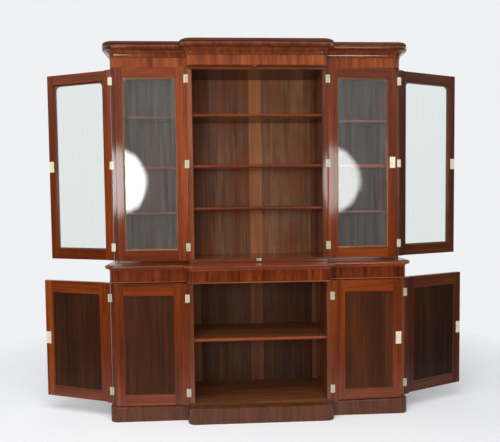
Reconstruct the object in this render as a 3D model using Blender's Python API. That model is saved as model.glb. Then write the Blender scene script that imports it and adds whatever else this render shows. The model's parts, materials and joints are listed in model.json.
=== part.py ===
"""Breakfront library bookcase in two stages: a cupboard base with panelled doors and a glazed upper stage.

Metres, +Z up, +Y to the back. The origin is on the floor, on the plane of symmetry, in line with the front
edges of the upper stage's centre bay. All doors stand open, folded back against the wings or past the ends.
"""

import math
from types import SimpleNamespace

import bmesh
import bpy

# Fits between pieces
SEAT_GAP = 0.0003
OVERRUN = 0.010
DOOR_GAP = 0.001

# Widths, from the plane of symmetry to the outer faces. The upper stage is set in from the base.
BASE_HALF_WIDTH = 0.930
BASE_CENTRE_HALF_WIDTH = 0.444
UPPER_SIDE_SET_IN = 0.0085
UPPER_CENTRE_SET_IN = 0.004

# Depths
BASE_STEP = 0.071
UPPER_STEP = 0.070
UPPER_SET_BACK = 0.095
UPPER_INNER_DEPTH = 0.275
BACK_THICKNESS = 0.012

# Heights
PLINTH_HEIGHT = 0.097
BASE_CARCASE_HEIGHT = 0.767
BASE_FRIEZE_HEIGHT = 0.076
WAIST_THICKNESS = 0.033
UPPER_CARCASE_HEIGHT = 1.225
CORNICE_FRIEZE_HEIGHT = 0.061
CAVETTO_HEIGHT = 0.037
CORNICE_TORUS_HEIGHT = 0.030
CORNICE_TOP_HEIGHT = 0.019

# Boards
SIDE_THICKNESS = 0.024
PARTITION_THICKNESS = 0.032
BOARD_THICKNESS = 0.018
UPPER_BOARD_THICKNESS = 0.0245
SHELF_THICKNESS = 0.021
SHELF_SET_BACK = 0.018
HOUSING_DEPTH = 0.005
MUNTIN_WIDTH = 0.088
MUNTIN_THICKNESS = 0.004

# Places of the shelves, as shares of the height of the bay
UPPER_LEFT_SHELF_SHARES = (0.245, 0.492, 0.764)
UPPER_CENTRE_SHELF_SHARES = (0.267, 0.493, 0.763)
UPPER_RIGHT_SHELF_SHARES = (0.241, 0.494, 0.740)
BASE_SHELF_SHARES = (0.515,)

# Mouldings: how far each stands out from the face of the frieze and doors
CORNER_RADIUS = 0.038
INNER_CORNER_RADIUS = 0.002
ARC_MARGIN_ANGLE = math.radians(5)
FRAME_SEAT = 0.060
FRIEZE_FILLET = 0.003
FRIEZE_FILLET_HEIGHT = 0.004
CAVETTO_PROJECTION = 0.032
TORUS_PROJECTION = 0.0455
TORUS_QUIRK = 0.002
CORNICE_TOP_PROJECTION = 0.043
CORNICE_TOP_ROUND = 0.008
WAIST_PROJECTION = 0.028
WAIST_COVE_PROJECTION = 0.020
WAIST_COVE_HEIGHT = 0.015
WAIST_NECK = 0.002
WAIST_TOP_EASE = 0.008
BEAD_RADIUS = 0.0045
BEAD_QUIRK = 0.001
PLINTH_PROJECTION = 0.010
PLINTH_WALL = 0.024
PLINTH_FLANGE = 0.020
PLINTH_ROUND = 0.012
RAIL_THICKNESS = 0.020
BEARER_THICKNESS = 0.030

# Doors. The hinge stile is a share of the width from pin to free edge, and the other stile houses the lock.
HINGE_POST_DEPTH = 0.038
HINGE_POST_WIDTH = 0.030
FRAME_THICKNESS = 0.026
LEADING_EDGE_CHAMFER = 0.004
LIP_THICKNESS = 0.010
REBATE_WIDTH = 0.009
MEETING_GAP = 0.003
DOOR_HEAD_CLEARANCE = 0.0025
BASE_DOOR_FOOT_CLEARANCE = 0.006
UPPER_DOOR_FOOT_CLEARANCE = 0.017
SWEEP_CLEARANCE = 0.0006
GLAZED_WING_HINGE_STILE_SHARE = 0.142
GLAZED_CENTRE_HINGE_STILE_SHARE = 0.1569
GLAZED_LOCK_MARGIN = 0.009
GLAZED_TOP_RAIL = 0.071
GLAZED_BOTTOM_RAIL = 0.075
GLAZED_CORNER_RADIUS = 0.030
GLASS_THICKNESS = 0.003
PANELLED_WING_HINGE_STILE_SHARE = 0.177
PANELLED_CENTRE_HINGE_STILE_SHARE = 0.198
PANELLED_LOCK_MARGIN = 0.017
PANELLED_TOP_RAIL = 0.084
PANELLED_BOTTOM_RAIL = 0.074
PANEL_THICKNESS = 0.009

# Butt hinges
PIN_OFFSET = 0.0045
KNUCKLE_RADIUS = 0.004
PIN_RADIUS = 0.0016
PIN_CLEARANCE = 0.0003
HINGE_LENGTH = 0.050
KNUCKLES = 5
LEAF_THICKNESS = 0.0025
LEAF_REACH = 0.009
LEAF_LIFT = 0.00025
ROUND_SIDES = 8
UPPER_HINGE_SHARES = (0.070, 0.502, 0.940)
BASE_HINGE_SHARES = (0.103, 0.877)

# Locks and bolts
LOCK_SHARE = 0.505
LOCK_WIDTH = 0.036
LOCK_DEPTH = 0.012
LOCK_PLATE_THICKNESS = 0.002
UPPER_LOCK_HEIGHT = 0.070
BASE_LOCK_HEIGHT = 0.078
LOCK_CASE_MARGIN = 0.010
BOLT_LENGTH = 0.023
BOLT_THICKNESS = 0.006
BOLT_HEIGHT = 0.018
BOLT_THROW = 0.010
BOLT_SET_BACK = 0.001
KEYHOLE_RADIUS = 0.0026
KEYHOLE_SLOT_WIDTH = 0.0022
KEYHOLE_SLOT_DROP = 0.009
KEYHOLE_SET_BACK = 0.030
ROD_WIDTH = 0.006
ROD_THICKNESS = 0.004
ROD_LENGTH = 0.110
ROD_SET_BACK = 0.007
ROD_COVER = 0.0012
ROD_THROW = 0.012
THUMB_LENGTH = 0.012
THUMB_THICKNESS = 0.003
SOCKET_CLEARANCE = 0.001
KEEPER_WIDTH = 0.020
KEEPER_THICKNESS = 0.003
KEEPER_DROP = 0.0075

# Angles of the open doors, from closed
UPPER_LEFT_WING_ANGLE = math.radians(200)
UPPER_LEFT_CENTRE_ANGLE = math.radians(181.5)
UPPER_RIGHT_WING_ANGLE = math.radians(199.5)
UPPER_RIGHT_CENTRE_ANGLE = math.radians(182.5)
BASE_LEFT_WING_ANGLE = math.radians(199)
BASE_LEFT_CENTRE_ANGLE = math.radians(181.2)
BASE_RIGHT_WING_ANGLE = math.radians(201)
BASE_RIGHT_CENTRE_ANGLE = math.radians(182.5)

# Counts of facets
CORNER_STEPS = 4
COVE_STEPS = 5
ROUND_STEPS = 6
NOSE_STEPS = 4
SMOOTH_ANGLE = math.radians(32)

# Sizes that follow from those above
DOOR_DEPTH = HINGE_POST_DEPTH + DOOR_GAP
PLINTH_TOP = PLINTH_HEIGHT
BASE_FRIEZE_BOTTOM = PLINTH_TOP + BASE_CARCASE_HEIGHT
WAIST_BOTTOM = BASE_FRIEZE_BOTTOM + BASE_FRIEZE_HEIGHT
WAIST_TOP = WAIST_BOTTOM + WAIST_THICKNESS
CORNICE_BOTTOM = WAIST_TOP + UPPER_CARCASE_HEIGHT
BACK_FACE = UPPER_INNER_DEPTH + BACK_THICKNESS
UPPER_HALF_WIDTH = BASE_HALF_WIDTH - UPPER_SIDE_SET_IN
UPPER_CENTRE_HALF_WIDTH = BASE_CENTRE_HALF_WIDTH - UPPER_CENTRE_SET_IN
STRIKE_DEPTH = BOLT_THROW + 2 * SOCKET_CLEARANCE

BASE = SimpleNamespace(
    name="base",
    half_width=BASE_HALF_WIDTH,
    centre_half_width=BASE_CENTRE_HALF_WIDTH,
    centre_front=-UPPER_SET_BACK,
    wing_front=-UPPER_SET_BACK + BASE_STEP,
    bottom=PLINTH_TOP + SEAT_GAP,
    floor=PLINTH_TOP + SEAT_GAP + BOARD_THICKNESS,
    ceiling=BASE_FRIEZE_BOTTOM,
    top=BASE_FRIEZE_BOTTOM - SEAT_GAP,
    door_bottom=PLINTH_TOP + BASE_DOOR_FOOT_CLEARANCE,
    door_top=BASE_FRIEZE_BOTTOM - DOOR_HEAD_CLEARANCE,
    hinge_shares=BASE_HINGE_SHARES,
    shelf_shares={
        "left": BASE_SHELF_SHARES,
        "centre": BASE_SHELF_SHARES,
        "right": BASE_SHELF_SHARES,
    },
    hinge_stile_shares={
        "wing": PANELLED_WING_HINGE_STILE_SHARE,
        "centre": PANELLED_CENTRE_HINGE_STILE_SHARE,
    },
    free_stile=LOCK_WIDTH + REBATE_WIDTH + PANELLED_LOCK_MARGIN,
    top_rail=PANELLED_TOP_RAIL,
    bottom_rail=PANELLED_BOTTOM_RAIL,
    lock_height=BASE_LOCK_HEIGHT,
)

UPPER = SimpleNamespace(
    name="upper",
    half_width=UPPER_HALF_WIDTH,
    centre_half_width=UPPER_CENTRE_HALF_WIDTH,
    centre_front=0,
    wing_front=UPPER_STEP,
    bottom=WAIST_TOP + SEAT_GAP,
    floor=WAIST_TOP + SEAT_GAP + UPPER_BOARD_THICKNESS,
    ceiling=CORNICE_BOTTOM - SEAT_GAP - BOARD_THICKNESS,
    top=CORNICE_BOTTOM - SEAT_GAP,
    door_bottom=WAIST_TOP + UPPER_DOOR_FOOT_CLEARANCE,
    door_top=CORNICE_BOTTOM - DOOR_HEAD_CLEARANCE,
    hinge_shares=UPPER_HINGE_SHARES,
    shelf_shares={
        "left": UPPER_LEFT_SHELF_SHARES,
        "centre": UPPER_CENTRE_SHELF_SHARES,
        "right": UPPER_RIGHT_SHELF_SHARES,
    },
    hinge_stile_shares={
        "wing": GLAZED_WING_HINGE_STILE_SHARE,
        "centre": GLAZED_CENTRE_HINGE_STILE_SHARE,
    },
    free_stile=LOCK_WIDTH + REBATE_WIDTH + GLAZED_LOCK_MARGIN,
    top_rail=GLAZED_TOP_RAIL,
    bottom_rail=GLAZED_BOTTOM_RAIL,
    lock_height=UPPER_LOCK_HEIGHT,
)

# Left is the side of -X. A door's side is that of its hinges.
SIDES = {"left": -1, "right": 1}

DOORS = (
    SimpleNamespace(stage=UPPER, side="left", bay="wing", angle=UPPER_LEFT_WING_ANGLE),
    SimpleNamespace(stage=UPPER, side="left", bay="centre", angle=UPPER_LEFT_CENTRE_ANGLE),
    SimpleNamespace(stage=UPPER, side="right", bay="centre", angle=UPPER_RIGHT_CENTRE_ANGLE),
    SimpleNamespace(stage=UPPER, side="right", bay="wing", angle=UPPER_RIGHT_WING_ANGLE),
    SimpleNamespace(stage=BASE, side="left", bay="wing", angle=BASE_LEFT_WING_ANGLE),
    SimpleNamespace(stage=BASE, side="left", bay="centre", angle=BASE_LEFT_CENTRE_ANGLE),
    SimpleNamespace(stage=BASE, side="right", bay="centre", angle=BASE_RIGHT_CENTRE_ANGLE),
    SimpleNamespace(stage=BASE, side="right", bay="wing", angle=BASE_RIGHT_WING_ANGLE),
)


def clear_scene():
    for obj in list(bpy.data.objects):
        bpy.data.objects.remove(obj, do_unlink=True)


def principled(name, colour, roughness, metallic=0.0, transmission=0.0):
    material = bpy.data.materials.new(name)
    material.use_nodes = True
    shader = material.node_tree.nodes["Principled BSDF"]
    shader.inputs["Base Color"].default_value = (*colour, 1.0)
    shader.inputs["Roughness"].default_value = roughness
    shader.inputs["Metallic"].default_value = metallic
    shader.inputs["Transmission Weight"].default_value = transmission
    material.diffuse_color = (*colour, 1.0)
    return material


# Closed shells: each is a list of points and a list of faces


def prism(outline, low, high, axis="z"):
    """A straight prism. The outline is in XY for axis z, in XZ for axis y and in YZ for axis x."""
    place = {
        "z": lambda a, b, h: (a, b, h),
        "y": lambda a, b, h: (a, h, b),
        "x": lambda a, b, h: (h, a, b),
    }[axis]
    count = len(outline)
    points = [place(a, b, low) for a, b in outline]
    points += [place(a, b, high) for a, b in outline]
    faces = [tuple(range(count)), tuple(range(count, 2 * count))]
    for i in range(count):
        j = (i + 1) % count
        faces.append((i, j, count + j, count + i))
    return points, faces


def box(x0, x1, y0, y1, z0, z1):
    return prism([(x0, y0), (x1, y0), (x1, y1), (x0, y1)], z0, z1)


def circle(x, y, radius, sides=ROUND_SIDES):
    turn = 2 * math.pi / sides
    return [(x + radius * math.cos(turn * i), y + radius * math.sin(turn * i)) for i in range(sides)]


def turned(x, y, steps):
    """A solid turned about a vertical line, from pairs of radius and height."""
    points = []
    for radius, height in steps:
        points += [(px, py, height) for px, py in circle(x, y, radius)]
    faces = [tuple(range(ROUND_SIDES))]
    faces.append(tuple(range(len(points) - ROUND_SIDES, len(points))))
    for level in range(len(steps) - 1):
        for i in range(ROUND_SIDES):
            j = (i + 1) % ROUND_SIDES
            low = level * ROUND_SIDES
            faces.append((low + i, low + j, low + ROUND_SIDES + j, low + ROUND_SIDES + i))
    return points, faces


def tube(x, y, outer, inner, z0, z1):
    """A short upright tube, such as a hinge knuckle with its bore."""
    rings = [(outer, z0), (outer, z1), (inner, z1), (inner, z0)]
    points = []
    for radius, height in rings:
        points += [(px, py, height) for px, py in circle(x, y, radius)]
    faces = []
    for ring in range(len(rings)):
        after = (ring + 1) % len(rings)
        for i in range(ROUND_SIDES):
            j = (i + 1) % ROUND_SIDES
            faces.append(
                (
                    ring * ROUND_SIDES + i,
                    ring * ROUND_SIDES + j,
                    after * ROUND_SIDES + j,
                    after * ROUND_SIDES + i,
                )
            )
    return points, faces


# Objects


def mesh_object(name, shells, material=None, origin=None, parent=None):
    """One object from closed shells. Its origin is the given point, or else the middle of its box."""
    corners = [point for points, _ in shells for point in points]
    if origin is None:
        origin = [
            (min(p[axis] for p in corners) + max(p[axis] for p in corners)) / 2 for axis in range(3)
        ]
    bm = bmesh.new()
    for points, faces in shells:
        made = [bm.verts.new([p[axis] - origin[axis] for axis in range(3)]) for p in points]
        for face in faces:
            bm.faces.new([made[i] for i in face])
    bmesh.ops.recalc_face_normals(bm, faces=bm.faces)
    mesh = bpy.data.meshes.new(name)
    bm.to_mesh(mesh)
    bm.free()
    mesh.shade_smooth()
    mesh.set_sharp_from_angle(angle=SMOOTH_ANGLE)
    obj = bpy.data.objects.new(name, mesh)
    bpy.context.scene.collection.objects.link(obj)
    obj.location = origin
    obj.parent = parent
    if material:
        mesh.materials.append(material)
    return obj


def helper(name, shells, parent=None):
    obj = mesh_object(name, shells, parent=parent)
    obj.hide_render = True
    obj.display_type = "WIRE"
    return obj


def combine(obj, shells, operation, label):
    """Adds a Boolean of the shells to the object, in the frame of its parent."""
    if not shells:
        return
    modifier = obj.modifiers.new(label, "BOOLEAN")
    modifier.operation = operation
    modifier.solver = "EXACT"
    modifier.object = helper(f"{obj.name}_{label}", shells, parent=obj.parent)


def cut(obj, shells, label):
    combine(obj, shells, "DIFFERENCE", label)


def join(obj, shells, label):
    combine(obj, shells, "UNION", label)


# The breakfront outline and what is swept along it


def half_outline(stage, back, offset):
    """The right half of the breakfront outline, from the centre to the back, moved outwards by offset.

    Convex corners are rounded. The corner between centre and wing is mitred, and where the rounding of the
    centre reaches past the wing's face, it ends on that face.
    """
    centre_front = stage.centre_front - DOOR_DEPTH - offset
    wing_front = stage.wing_front - DOOR_DEPTH - offset
    radius = max(CORNER_RADIUS + offset, INNER_CORNER_RADIUS)
    centre_side = stage.centre_half_width + offset
    wing_side = stage.half_width + offset
    rise = wing_front - (centre_front + radius)
    if rise > INNER_CORNER_RADIUS:
        last_angle = 0.0
        corner = (centre_side, wing_front)
    elif rise > 0:
        last_angle = -ARC_MARGIN_ANGLE
        corner = (centre_side, wing_front)
    else:
        meeting = math.asin(rise / radius)
        last_angle = meeting - ARC_MARGIN_ANGLE
        corner = (centre_side - radius + radius * math.cos(meeting), wing_front)
    points = []
    for i in range(CORNER_STEPS + 1):
        angle = -math.pi / 2 + (last_angle + math.pi / 2) * i / CORNER_STEPS
        points.append(
            (
                centre_side - radius + radius * math.cos(angle),
                centre_front + radius + radius * math.sin(angle),
            )
        )
    points.append(corner)
    for i in range(CORNER_STEPS + 1):
        angle = -math.pi / 2 * (1 - i / CORNER_STEPS)
        points.append(
            (
                wing_side - radius + radius * math.cos(angle),
                wing_front + radius + radius * math.sin(angle),
            )
        )
    points.append((wing_side, back))
    return points


def outline(stage, back, offset):
    half = half_outline(stage, back, offset)
    return [(-x, y) for x, y in reversed(half)] + half


def swept(stage, back, profile):
    """A closed profile of pairs of offset and height, swept along the outline, with both ends capped."""
    chains = [outline(stage, back, offset) for offset, _ in profile]
    length = len(chains[0])
    count = len(profile)
    points = [(x, y, height) for chain, (_, height) in zip(chains, profile) for x, y in chain]
    faces = []
    for i in range(count):
        after = (i + 1) % count
        for j in range(length - 1):
            faces.append(
                (i * length + j, i * length + j + 1, after * length + j + 1, after * length + j)
            )
    faces.append(tuple(i * length for i in range(count)))
    faces.append(tuple(i * length + length - 1 for i in range(count)))
    return points, faces


def stacked(stage, back, levels):
    """A solid board whose edge follows pairs of offset and height from bottom to top."""
    rings = [outline(stage, back, offset) for offset, _ in levels]
    length = len(rings[0])
    points = [(x, y, height) for ring, (_, height) in zip(rings, levels) for x, y in ring]
    faces = [tuple(range(length)), tuple(range(len(points) - length, len(points)))]
    for level in range(len(levels) - 1):
        for j in range(length):
            after = (j + 1) % length
            low = level * length
            faces.append((low + j, low + after, low + length + after, low + length + j))
    return points, faces


def arc(offset, height, reach, rise, start, end, steps):
    """Points of a profile on an ellipse about offset and height, between two angles in quarter turns."""
    points = []
    for i in range(steps + 1):
        angle = math.pi / 2 * (start + (end - start) * i / steps)
        points.append((offset + reach * math.cos(angle), height + rise * math.sin(angle)))
    return points


def cornice_profile():
    bottom = CORNICE_BOTTOM
    frieze_top = bottom + CORNICE_FRIEZE_HEIGHT
    cove_bottom = frieze_top + FRIEZE_FILLET_HEIGHT
    cove_top = cove_bottom + CAVETTO_HEIGHT
    torus_top = cove_top + CORNICE_TORUS_HEIGHT
    top = torus_top + CORNICE_TOP_HEIGHT
    torus_neck = CAVETTO_PROJECTION + TORUS_QUIRK
    torus_middle = cove_top + CORNICE_TORUS_HEIGHT / 2
    cove = arc(
        CAVETTO_PROJECTION,
        cove_bottom,
        CAVETTO_PROJECTION - FRIEZE_FILLET,
        CAVETTO_HEIGHT,
        2,
        1,
        COVE_STEPS,
    )
    torus = arc(
        torus_neck,
        torus_middle,
        TORUS_PROJECTION - torus_neck,
        CORNICE_TORUS_HEIGHT / 2,
        -1,
        1,
        ROUND_STEPS,
    )
    crown = [(CORNICE_TOP_PROJECTION, torus_top)]
    crown += arc(
        CORNICE_TOP_PROJECTION - CORNICE_TOP_ROUND,
        top - CORNICE_TOP_ROUND,
        CORNICE_TOP_ROUND,
        CORNICE_TOP_ROUND,
        0,
        1,
        NOSE_STEPS,
    )
    profile = [(-FRAME_SEAT, bottom), (0, bottom), (0, frieze_top), (FRIEZE_FILLET, frieze_top)]
    profile += cove + torus + crown
    profile += [(-RAIL_THICKNESS, top), (-RAIL_THICKNESS, frieze_top), (-FRAME_SEAT, frieze_top)]
    return profile


def waist_levels():
    bottom = WAIST_BOTTOM + SEAT_GAP
    cove_top = bottom + WAIST_COVE_HEIGHT
    nose_rise = (WAIST_TOP - cove_top) / 2
    nose_start = WAIST_COVE_PROJECTION + WAIST_NECK
    cove = arc(
        WAIST_COVE_PROJECTION,
        bottom,
        WAIST_COVE_PROJECTION - WAIST_NECK,
        WAIST_COVE_HEIGHT,
        2,
        1,
        NOSE_STEPS,
    )
    nose = arc(
        nose_start,
        cove_top + nose_rise,
        WAIST_PROJECTION - nose_start,
        nose_rise,
        -1,
        1,
        ROUND_STEPS,
    )
    nose[-1] = (WAIST_PROJECTION - WAIST_TOP_EASE, WAIST_TOP)
    return cove + nose[1:]


def base_frieze_profile():
    bottom = BASE_FRIEZE_BOTTOM
    top = WAIST_BOTTOM
    bead_middle = bottom + BEAD_RADIUS
    bead_top = bottom + 2 * BEAD_RADIUS
    bead = arc(0, bead_middle, BEAD_RADIUS, BEAD_RADIUS, -1, 1, NOSE_STEPS)
    profile = [(-FRAME_SEAT, bottom)]
    profile += bead
    profile += [(-BEAD_QUIRK, bead_top), (-BEAD_QUIRK, bead_top + BEAD_QUIRK)]
    profile += [(0, bead_top + BEAD_QUIRK), (0, top), (-FRAME_SEAT, top)]
    return profile


def plinth_profile():
    shoulder = PLINTH_TOP - PLINTH_ROUND
    nose = arc(
        PLINTH_PROJECTION - PLINTH_ROUND,
        shoulder,
        PLINTH_ROUND,
        PLINTH_ROUND,
        0,
        1,
        NOSE_STEPS,
    )
    inner = PLINTH_PROJECTION - PLINTH_WALL
    profile = [(inner, 0), (PLINTH_PROJECTION, 0)]
    profile += nose
    profile += [(-FRAME_SEAT, PLINTH_TOP), (-FRAME_SEAT, PLINTH_TOP - PLINTH_FLANGE)]
    profile.append((inner, PLINTH_TOP - PLINTH_FLANGE))
    return profile


def back_rail(stage, low, high):
    """A rail that closes a breakfront frame at the back and runs well into both of its ends."""
    end = stage.half_width - PLINTH_WALL / 2
    return box(-end, end, BACK_FACE - RAIL_THICKNESS, BACK_FACE - SEAT_GAP, low, high)


# Doors: sizes in the frame of the hinge pin, u towards the free edge and v to the back


def door_name(door):
    return f"{door.stage.name}_{door.side}_{door.bay}"


def pin_place(door):
    """The hinge pin's X and Y."""
    stage = door.stage
    reach = stage.half_width if door.bay == "wing" else stage.centre_half_width
    front = stage.wing_front if door.bay == "wing" else stage.centre_front
    return SIDES[door.side] * (reach + PIN_OFFSET), front - DOOR_GAP / 2


def free_edge(door):
    """The distance from the pin to the free edge.

    A centre door meets its fellow at the plane of symmetry. A wing door swings past the knuckles of the
    centre door beside it.
    """
    stage = door.stage
    if door.bay == "centre":
        return stage.centre_half_width + PIN_OFFSET - MEETING_GAP / 2
    apart = math.hypot(
        stage.half_width - stage.centre_half_width,
        stage.wing_front - stage.centre_front,
    )
    reach = apart - KNUCKLE_RADIUS - SWEEP_CLEARANCE
    depth = DOOR_GAP / 2 + HINGE_POST_DEPTH
    return min(
        math.sqrt(reach**2 - (depth - LEADING_EDGE_CHAMFER) ** 2),
        math.sqrt(reach**2 - depth**2) + LEADING_EDGE_CHAMFER,
    )


def door_faces():
    """The v of the post's back, the frame's inner face and the front."""
    back = -DOOR_GAP / 2
    front = back - HINGE_POST_DEPTH
    return SimpleNamespace(back=back, inner=front + FRAME_THICKNESS, front=front)


def towards(door, points):
    """Turns u into the door's own X, which points away from the side of its hinges."""
    sign = -SIDES[door.side]
    return [(sign * u, w) for u, w in points]


def door_box(door, u0, u1, v0, v1, z0, z1):
    return prism(towards(door, [(u0, v0), (u1, v0), (u1, v1), (u0, v1)]), z0, z1)


def through(door, points, v0, v1):
    """A prism across the door's thickness, from an outline in u and z."""
    return prism(towards(door, points), v0, v1, axis="y")


def lock_height_of(door):
    stage = door.stage
    return stage.door_bottom + LOCK_SHARE * (stage.door_top - stage.door_bottom)


def blank(door):
    """The plan of a door's frame: hinge post with a rounded outer corner, thinner frame, eased free edge."""
    face = door_faces()
    edge = free_edge(door)
    points = []
    for i in range(CORNER_STEPS + 1):
        angle = math.pi / 2 * i / CORNER_STEPS
        points.append(
            (
                PIN_OFFSET + CORNER_RADIUS * (1 - math.cos(angle)),
                face.front + CORNER_RADIUS * (1 - math.sin(angle)),
            )
        )
    points.append((edge - LEADING_EDGE_CHAMFER, face.front))
    points.append((edge, face.front + LEADING_EDGE_CHAMFER))
    points.append((edge, face.inner))
    points.append((PIN_OFFSET + HINGE_POST_WIDTH, face.inner))
    points.append((PIN_OFFSET + HINGE_POST_WIDTH, face.back))
    if CORNER_RADIUS < HINGE_POST_DEPTH:
        points.append((PIN_OFFSET, face.back))
    return prism(towards(door, points), door.stage.door_bottom, door.stage.door_top)


def opening(door, grow):
    """The u and z limits of the opening inside the stiles and rails, grown on each side."""
    stage = door.stage
    width = free_edge(door)
    return SimpleNamespace(
        u0=PIN_OFFSET + width * stage.hinge_stile_shares[door.bay] - grow,
        u1=width - stage.free_stile + grow,
        z0=stage.door_bottom + stage.bottom_rail - grow,
        z1=stage.door_top - stage.top_rail + grow,
    )


def opening_outline(door):
    """The opening, with rounded upper corners where the door is glazed."""
    room = opening(door, 0)
    points = [(room.u0, room.z0), (room.u1, room.z0)]
    if door.stage is not UPPER:
        return points + [(room.u1, room.z1), (room.u0, room.z1)]
    radius = GLAZED_CORNER_RADIUS
    for i in range(CORNER_STEPS + 1):
        angle = math.pi / 2 * i / CORNER_STEPS
        points.append(
            (
                room.u1 - radius + radius * math.cos(angle),
                room.z1 - radius + radius * math.sin(angle),
            )
        )
    for i in range(CORNER_STEPS + 1):
        angle = math.pi / 2 * i / CORNER_STEPS
        points.append(
            (
                room.u0 + radius - radius * math.sin(angle),
                room.z1 - radius + radius * math.cos(angle),
            )
        )
    return points


def keyhole(door, v0, v1):
    u = free_edge(door) - KEYHOLE_SET_BACK
    z = lock_height_of(door)
    half_slot = KEYHOLE_SLOT_WIDTH / 2
    start = math.asin(half_slot / KEYHOLE_RADIUS)
    points = [(u - half_slot, z - KEYHOLE_SLOT_DROP), (u + half_slot, z - KEYHOLE_SLOT_DROP)]
    for i in range(ROUND_SIDES + 1):
        angle = -math.pi / 2 + start + (2 * math.pi - 2 * start) * i / ROUND_SIDES
        points.append((u + KEYHOLE_RADIUS * math.cos(angle), z + KEYHOLE_RADIUS * math.sin(angle)))
    return through(door, points, v0, v1)


def lock_section(door, clearance):
    """The lock's upright section in v and z: a plate in the inner face with the case behind it."""
    face = door_faces()
    z = lock_height_of(door)
    plate = door.stage.lock_height / 2 + clearance
    case = door.stage.lock_height / 2 - LOCK_CASE_MARGIN + clearance
    seat = face.inner - LOCK_PLATE_THICKNESS - clearance
    deep = face.inner - LOCK_DEPTH - clearance
    return [
        (face.inner, z - plate),
        (face.inner, z + plate),
        (seat, z + plate),
        (seat, z + case),
        (deep, z + case),
        (deep, z - case),
        (seat, z - case),
        (seat, z - plate),
    ]


def bolt_limits(door, clearance):
    """The bolt's limits in v and z."""
    middle = door_faces().inner - LOCK_PLATE_THICKNESS - BOLT_SET_BACK - BOLT_THICKNESS / 2
    z = lock_height_of(door)
    return SimpleNamespace(
        v0=middle - BOLT_THICKNESS / 2 - clearance,
        v1=middle + BOLT_THICKNESS / 2 + clearance,
        z0=z - BOLT_HEIGHT / 2 - clearance,
        z1=z + BOLT_HEIGHT / 2 + clearance,
    )


def has_lock(door):
    return not (door.side == "left" and door.bay == "centre")


def rod_ends(door):
    """The ends of the left centre door that have a flush bolt, with the direction in which each shoots."""
    if has_lock(door):
        return ()
    return ("top", "foot") if door.stage is UPPER else ("top",)


def rod_spot(door):
    """The middle of a flush bolt's rod in u and v. It lies close to the door's inner face."""
    return free_edge(door) - ROD_SET_BACK, door_faces().inner - ROD_COVER - ROD_THICKNESS / 2


def rod_shells(door, end, clearance, travel):
    """The rod of a flush bolt and its thumb piece, grown by a clearance and drawn out along its travel."""
    u, v = rod_spot(door)
    edge = free_edge(door)
    half_width = ROD_WIDTH / 2 + clearance
    half_depth = ROD_THICKNESS / 2 + clearance
    thumb_half = THUMB_THICKNESS / 2 + clearance
    past = OVERRUN if travel else -SEAT_GAP
    if end == "top":
        tip = door.stage.door_top
        rod = (tip - ROD_LENGTH - clearance, tip + past)
        thumb = (tip - ROD_LENGTH - clearance, tip - ROD_LENGTH + THUMB_LENGTH + travel + clearance)
    else:
        tip = door.stage.door_bottom
        rod = (tip - past, tip + ROD_LENGTH + clearance)
        thumb = (tip + ROD_LENGTH - THUMB_LENGTH - travel - clearance, tip + ROD_LENGTH + clearance)
    outer = edge + OVERRUN if travel else edge - SEAT_GAP
    return (
        door_box(door, u - half_width, u + half_width, v - half_depth, v + half_depth, *rod),
        door_box(door, u, outer, v - thumb_half, v + thumb_half, *thumb),
    )


def knuckle_spans(z):
    """The heights of a hinge's knuckles, from the lowest up."""
    length = (HINGE_LENGTH - (KNUCKLES - 1) * SEAT_GAP) / KNUCKLES
    start = z - HINGE_LENGTH / 2
    spans = []
    for i in range(KNUCKLES):
        low = start + i * (length + SEAT_GAP)
        spans.append((low, low + length))
    return spans


def hinge_heights(stage):
    height = stage.door_top - stage.door_bottom
    return [stage.door_bottom + share * height for share in stage.hinge_shares]


def door_knuckles(door):
    """Two knuckles with bores for each hinge, and the leaf tabs that carry them."""
    bore = (PIN_RADIUS + PIN_CLEARANCE) / math.cos(math.pi / ROUND_SIDES)
    tab_start = (bore + KNUCKLE_RADIUS) / 2
    tubes = []
    tabs = []
    for z in hinge_heights(door.stage):
        for low, high in knuckle_spans(z)[1::2]:
            tubes.append(tube(0, 0, KNUCKLE_RADIUS, bore, low, high))
            inset = LEAF_LIFT
            tabs.append(
                door_box(
                    door,
                    tab_start,
                    PIN_OFFSET + LEAF_REACH,
                    -inset - LEAF_THICKNESS,
                    -inset,
                    low + inset,
                    high - inset,
                )
            )
    return tubes, tabs


def carcase_knuckles(door):
    """Three knuckles with the pin through them for each hinge, and their leaf tabs, where they stand."""
    x, y = pin_place(door)
    inward = -SIDES[door.side]
    posts = []
    tabs = []
    for z in hinge_heights(door.stage):
        spans = knuckle_spans(z)
        steps = []
        for i, (low, high) in enumerate(spans):
            if i % 2 == 0:
                steps += [(KNUCKLE_RADIUS, low), (KNUCKLE_RADIUS, high)]
            else:
                steps += [(PIN_RADIUS, spans[i - 1][1]), (PIN_RADIUS, spans[i + 1][0])]
        posts.append(turned(x, y, steps))
        for low, high in spans[0::2]:
            inset = LEAF_LIFT
            tabs.append(
                box(
                    x,
                    x + inward * (PIN_OFFSET + LEAF_REACH),
                    y + inset,
                    y + inset + LEAF_THICKNESS,
                    low + inset,
                    high - inset,
                )
            )
    return posts, tabs


# Shelves and the housings that hold them


def bay_limits(stage, bay):
    """The inner faces of a bay in X and its front edge in Y."""
    inner = stage.centre_half_width - PARTITION_THICKNESS
    if bay == "centre":
        return -inner, inner, stage.centre_front
    low = stage.centre_half_width
    high = stage.half_width - SIDE_THICKNESS
    if bay == "left":
        return -high, -low, stage.wing_front
    return low, high, stage.wing_front


def shelf_heights(stage, bay):
    height = stage.ceiling - stage.floor
    return [stage.floor + share * height for share in stage.shelf_shares[bay]]


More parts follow.
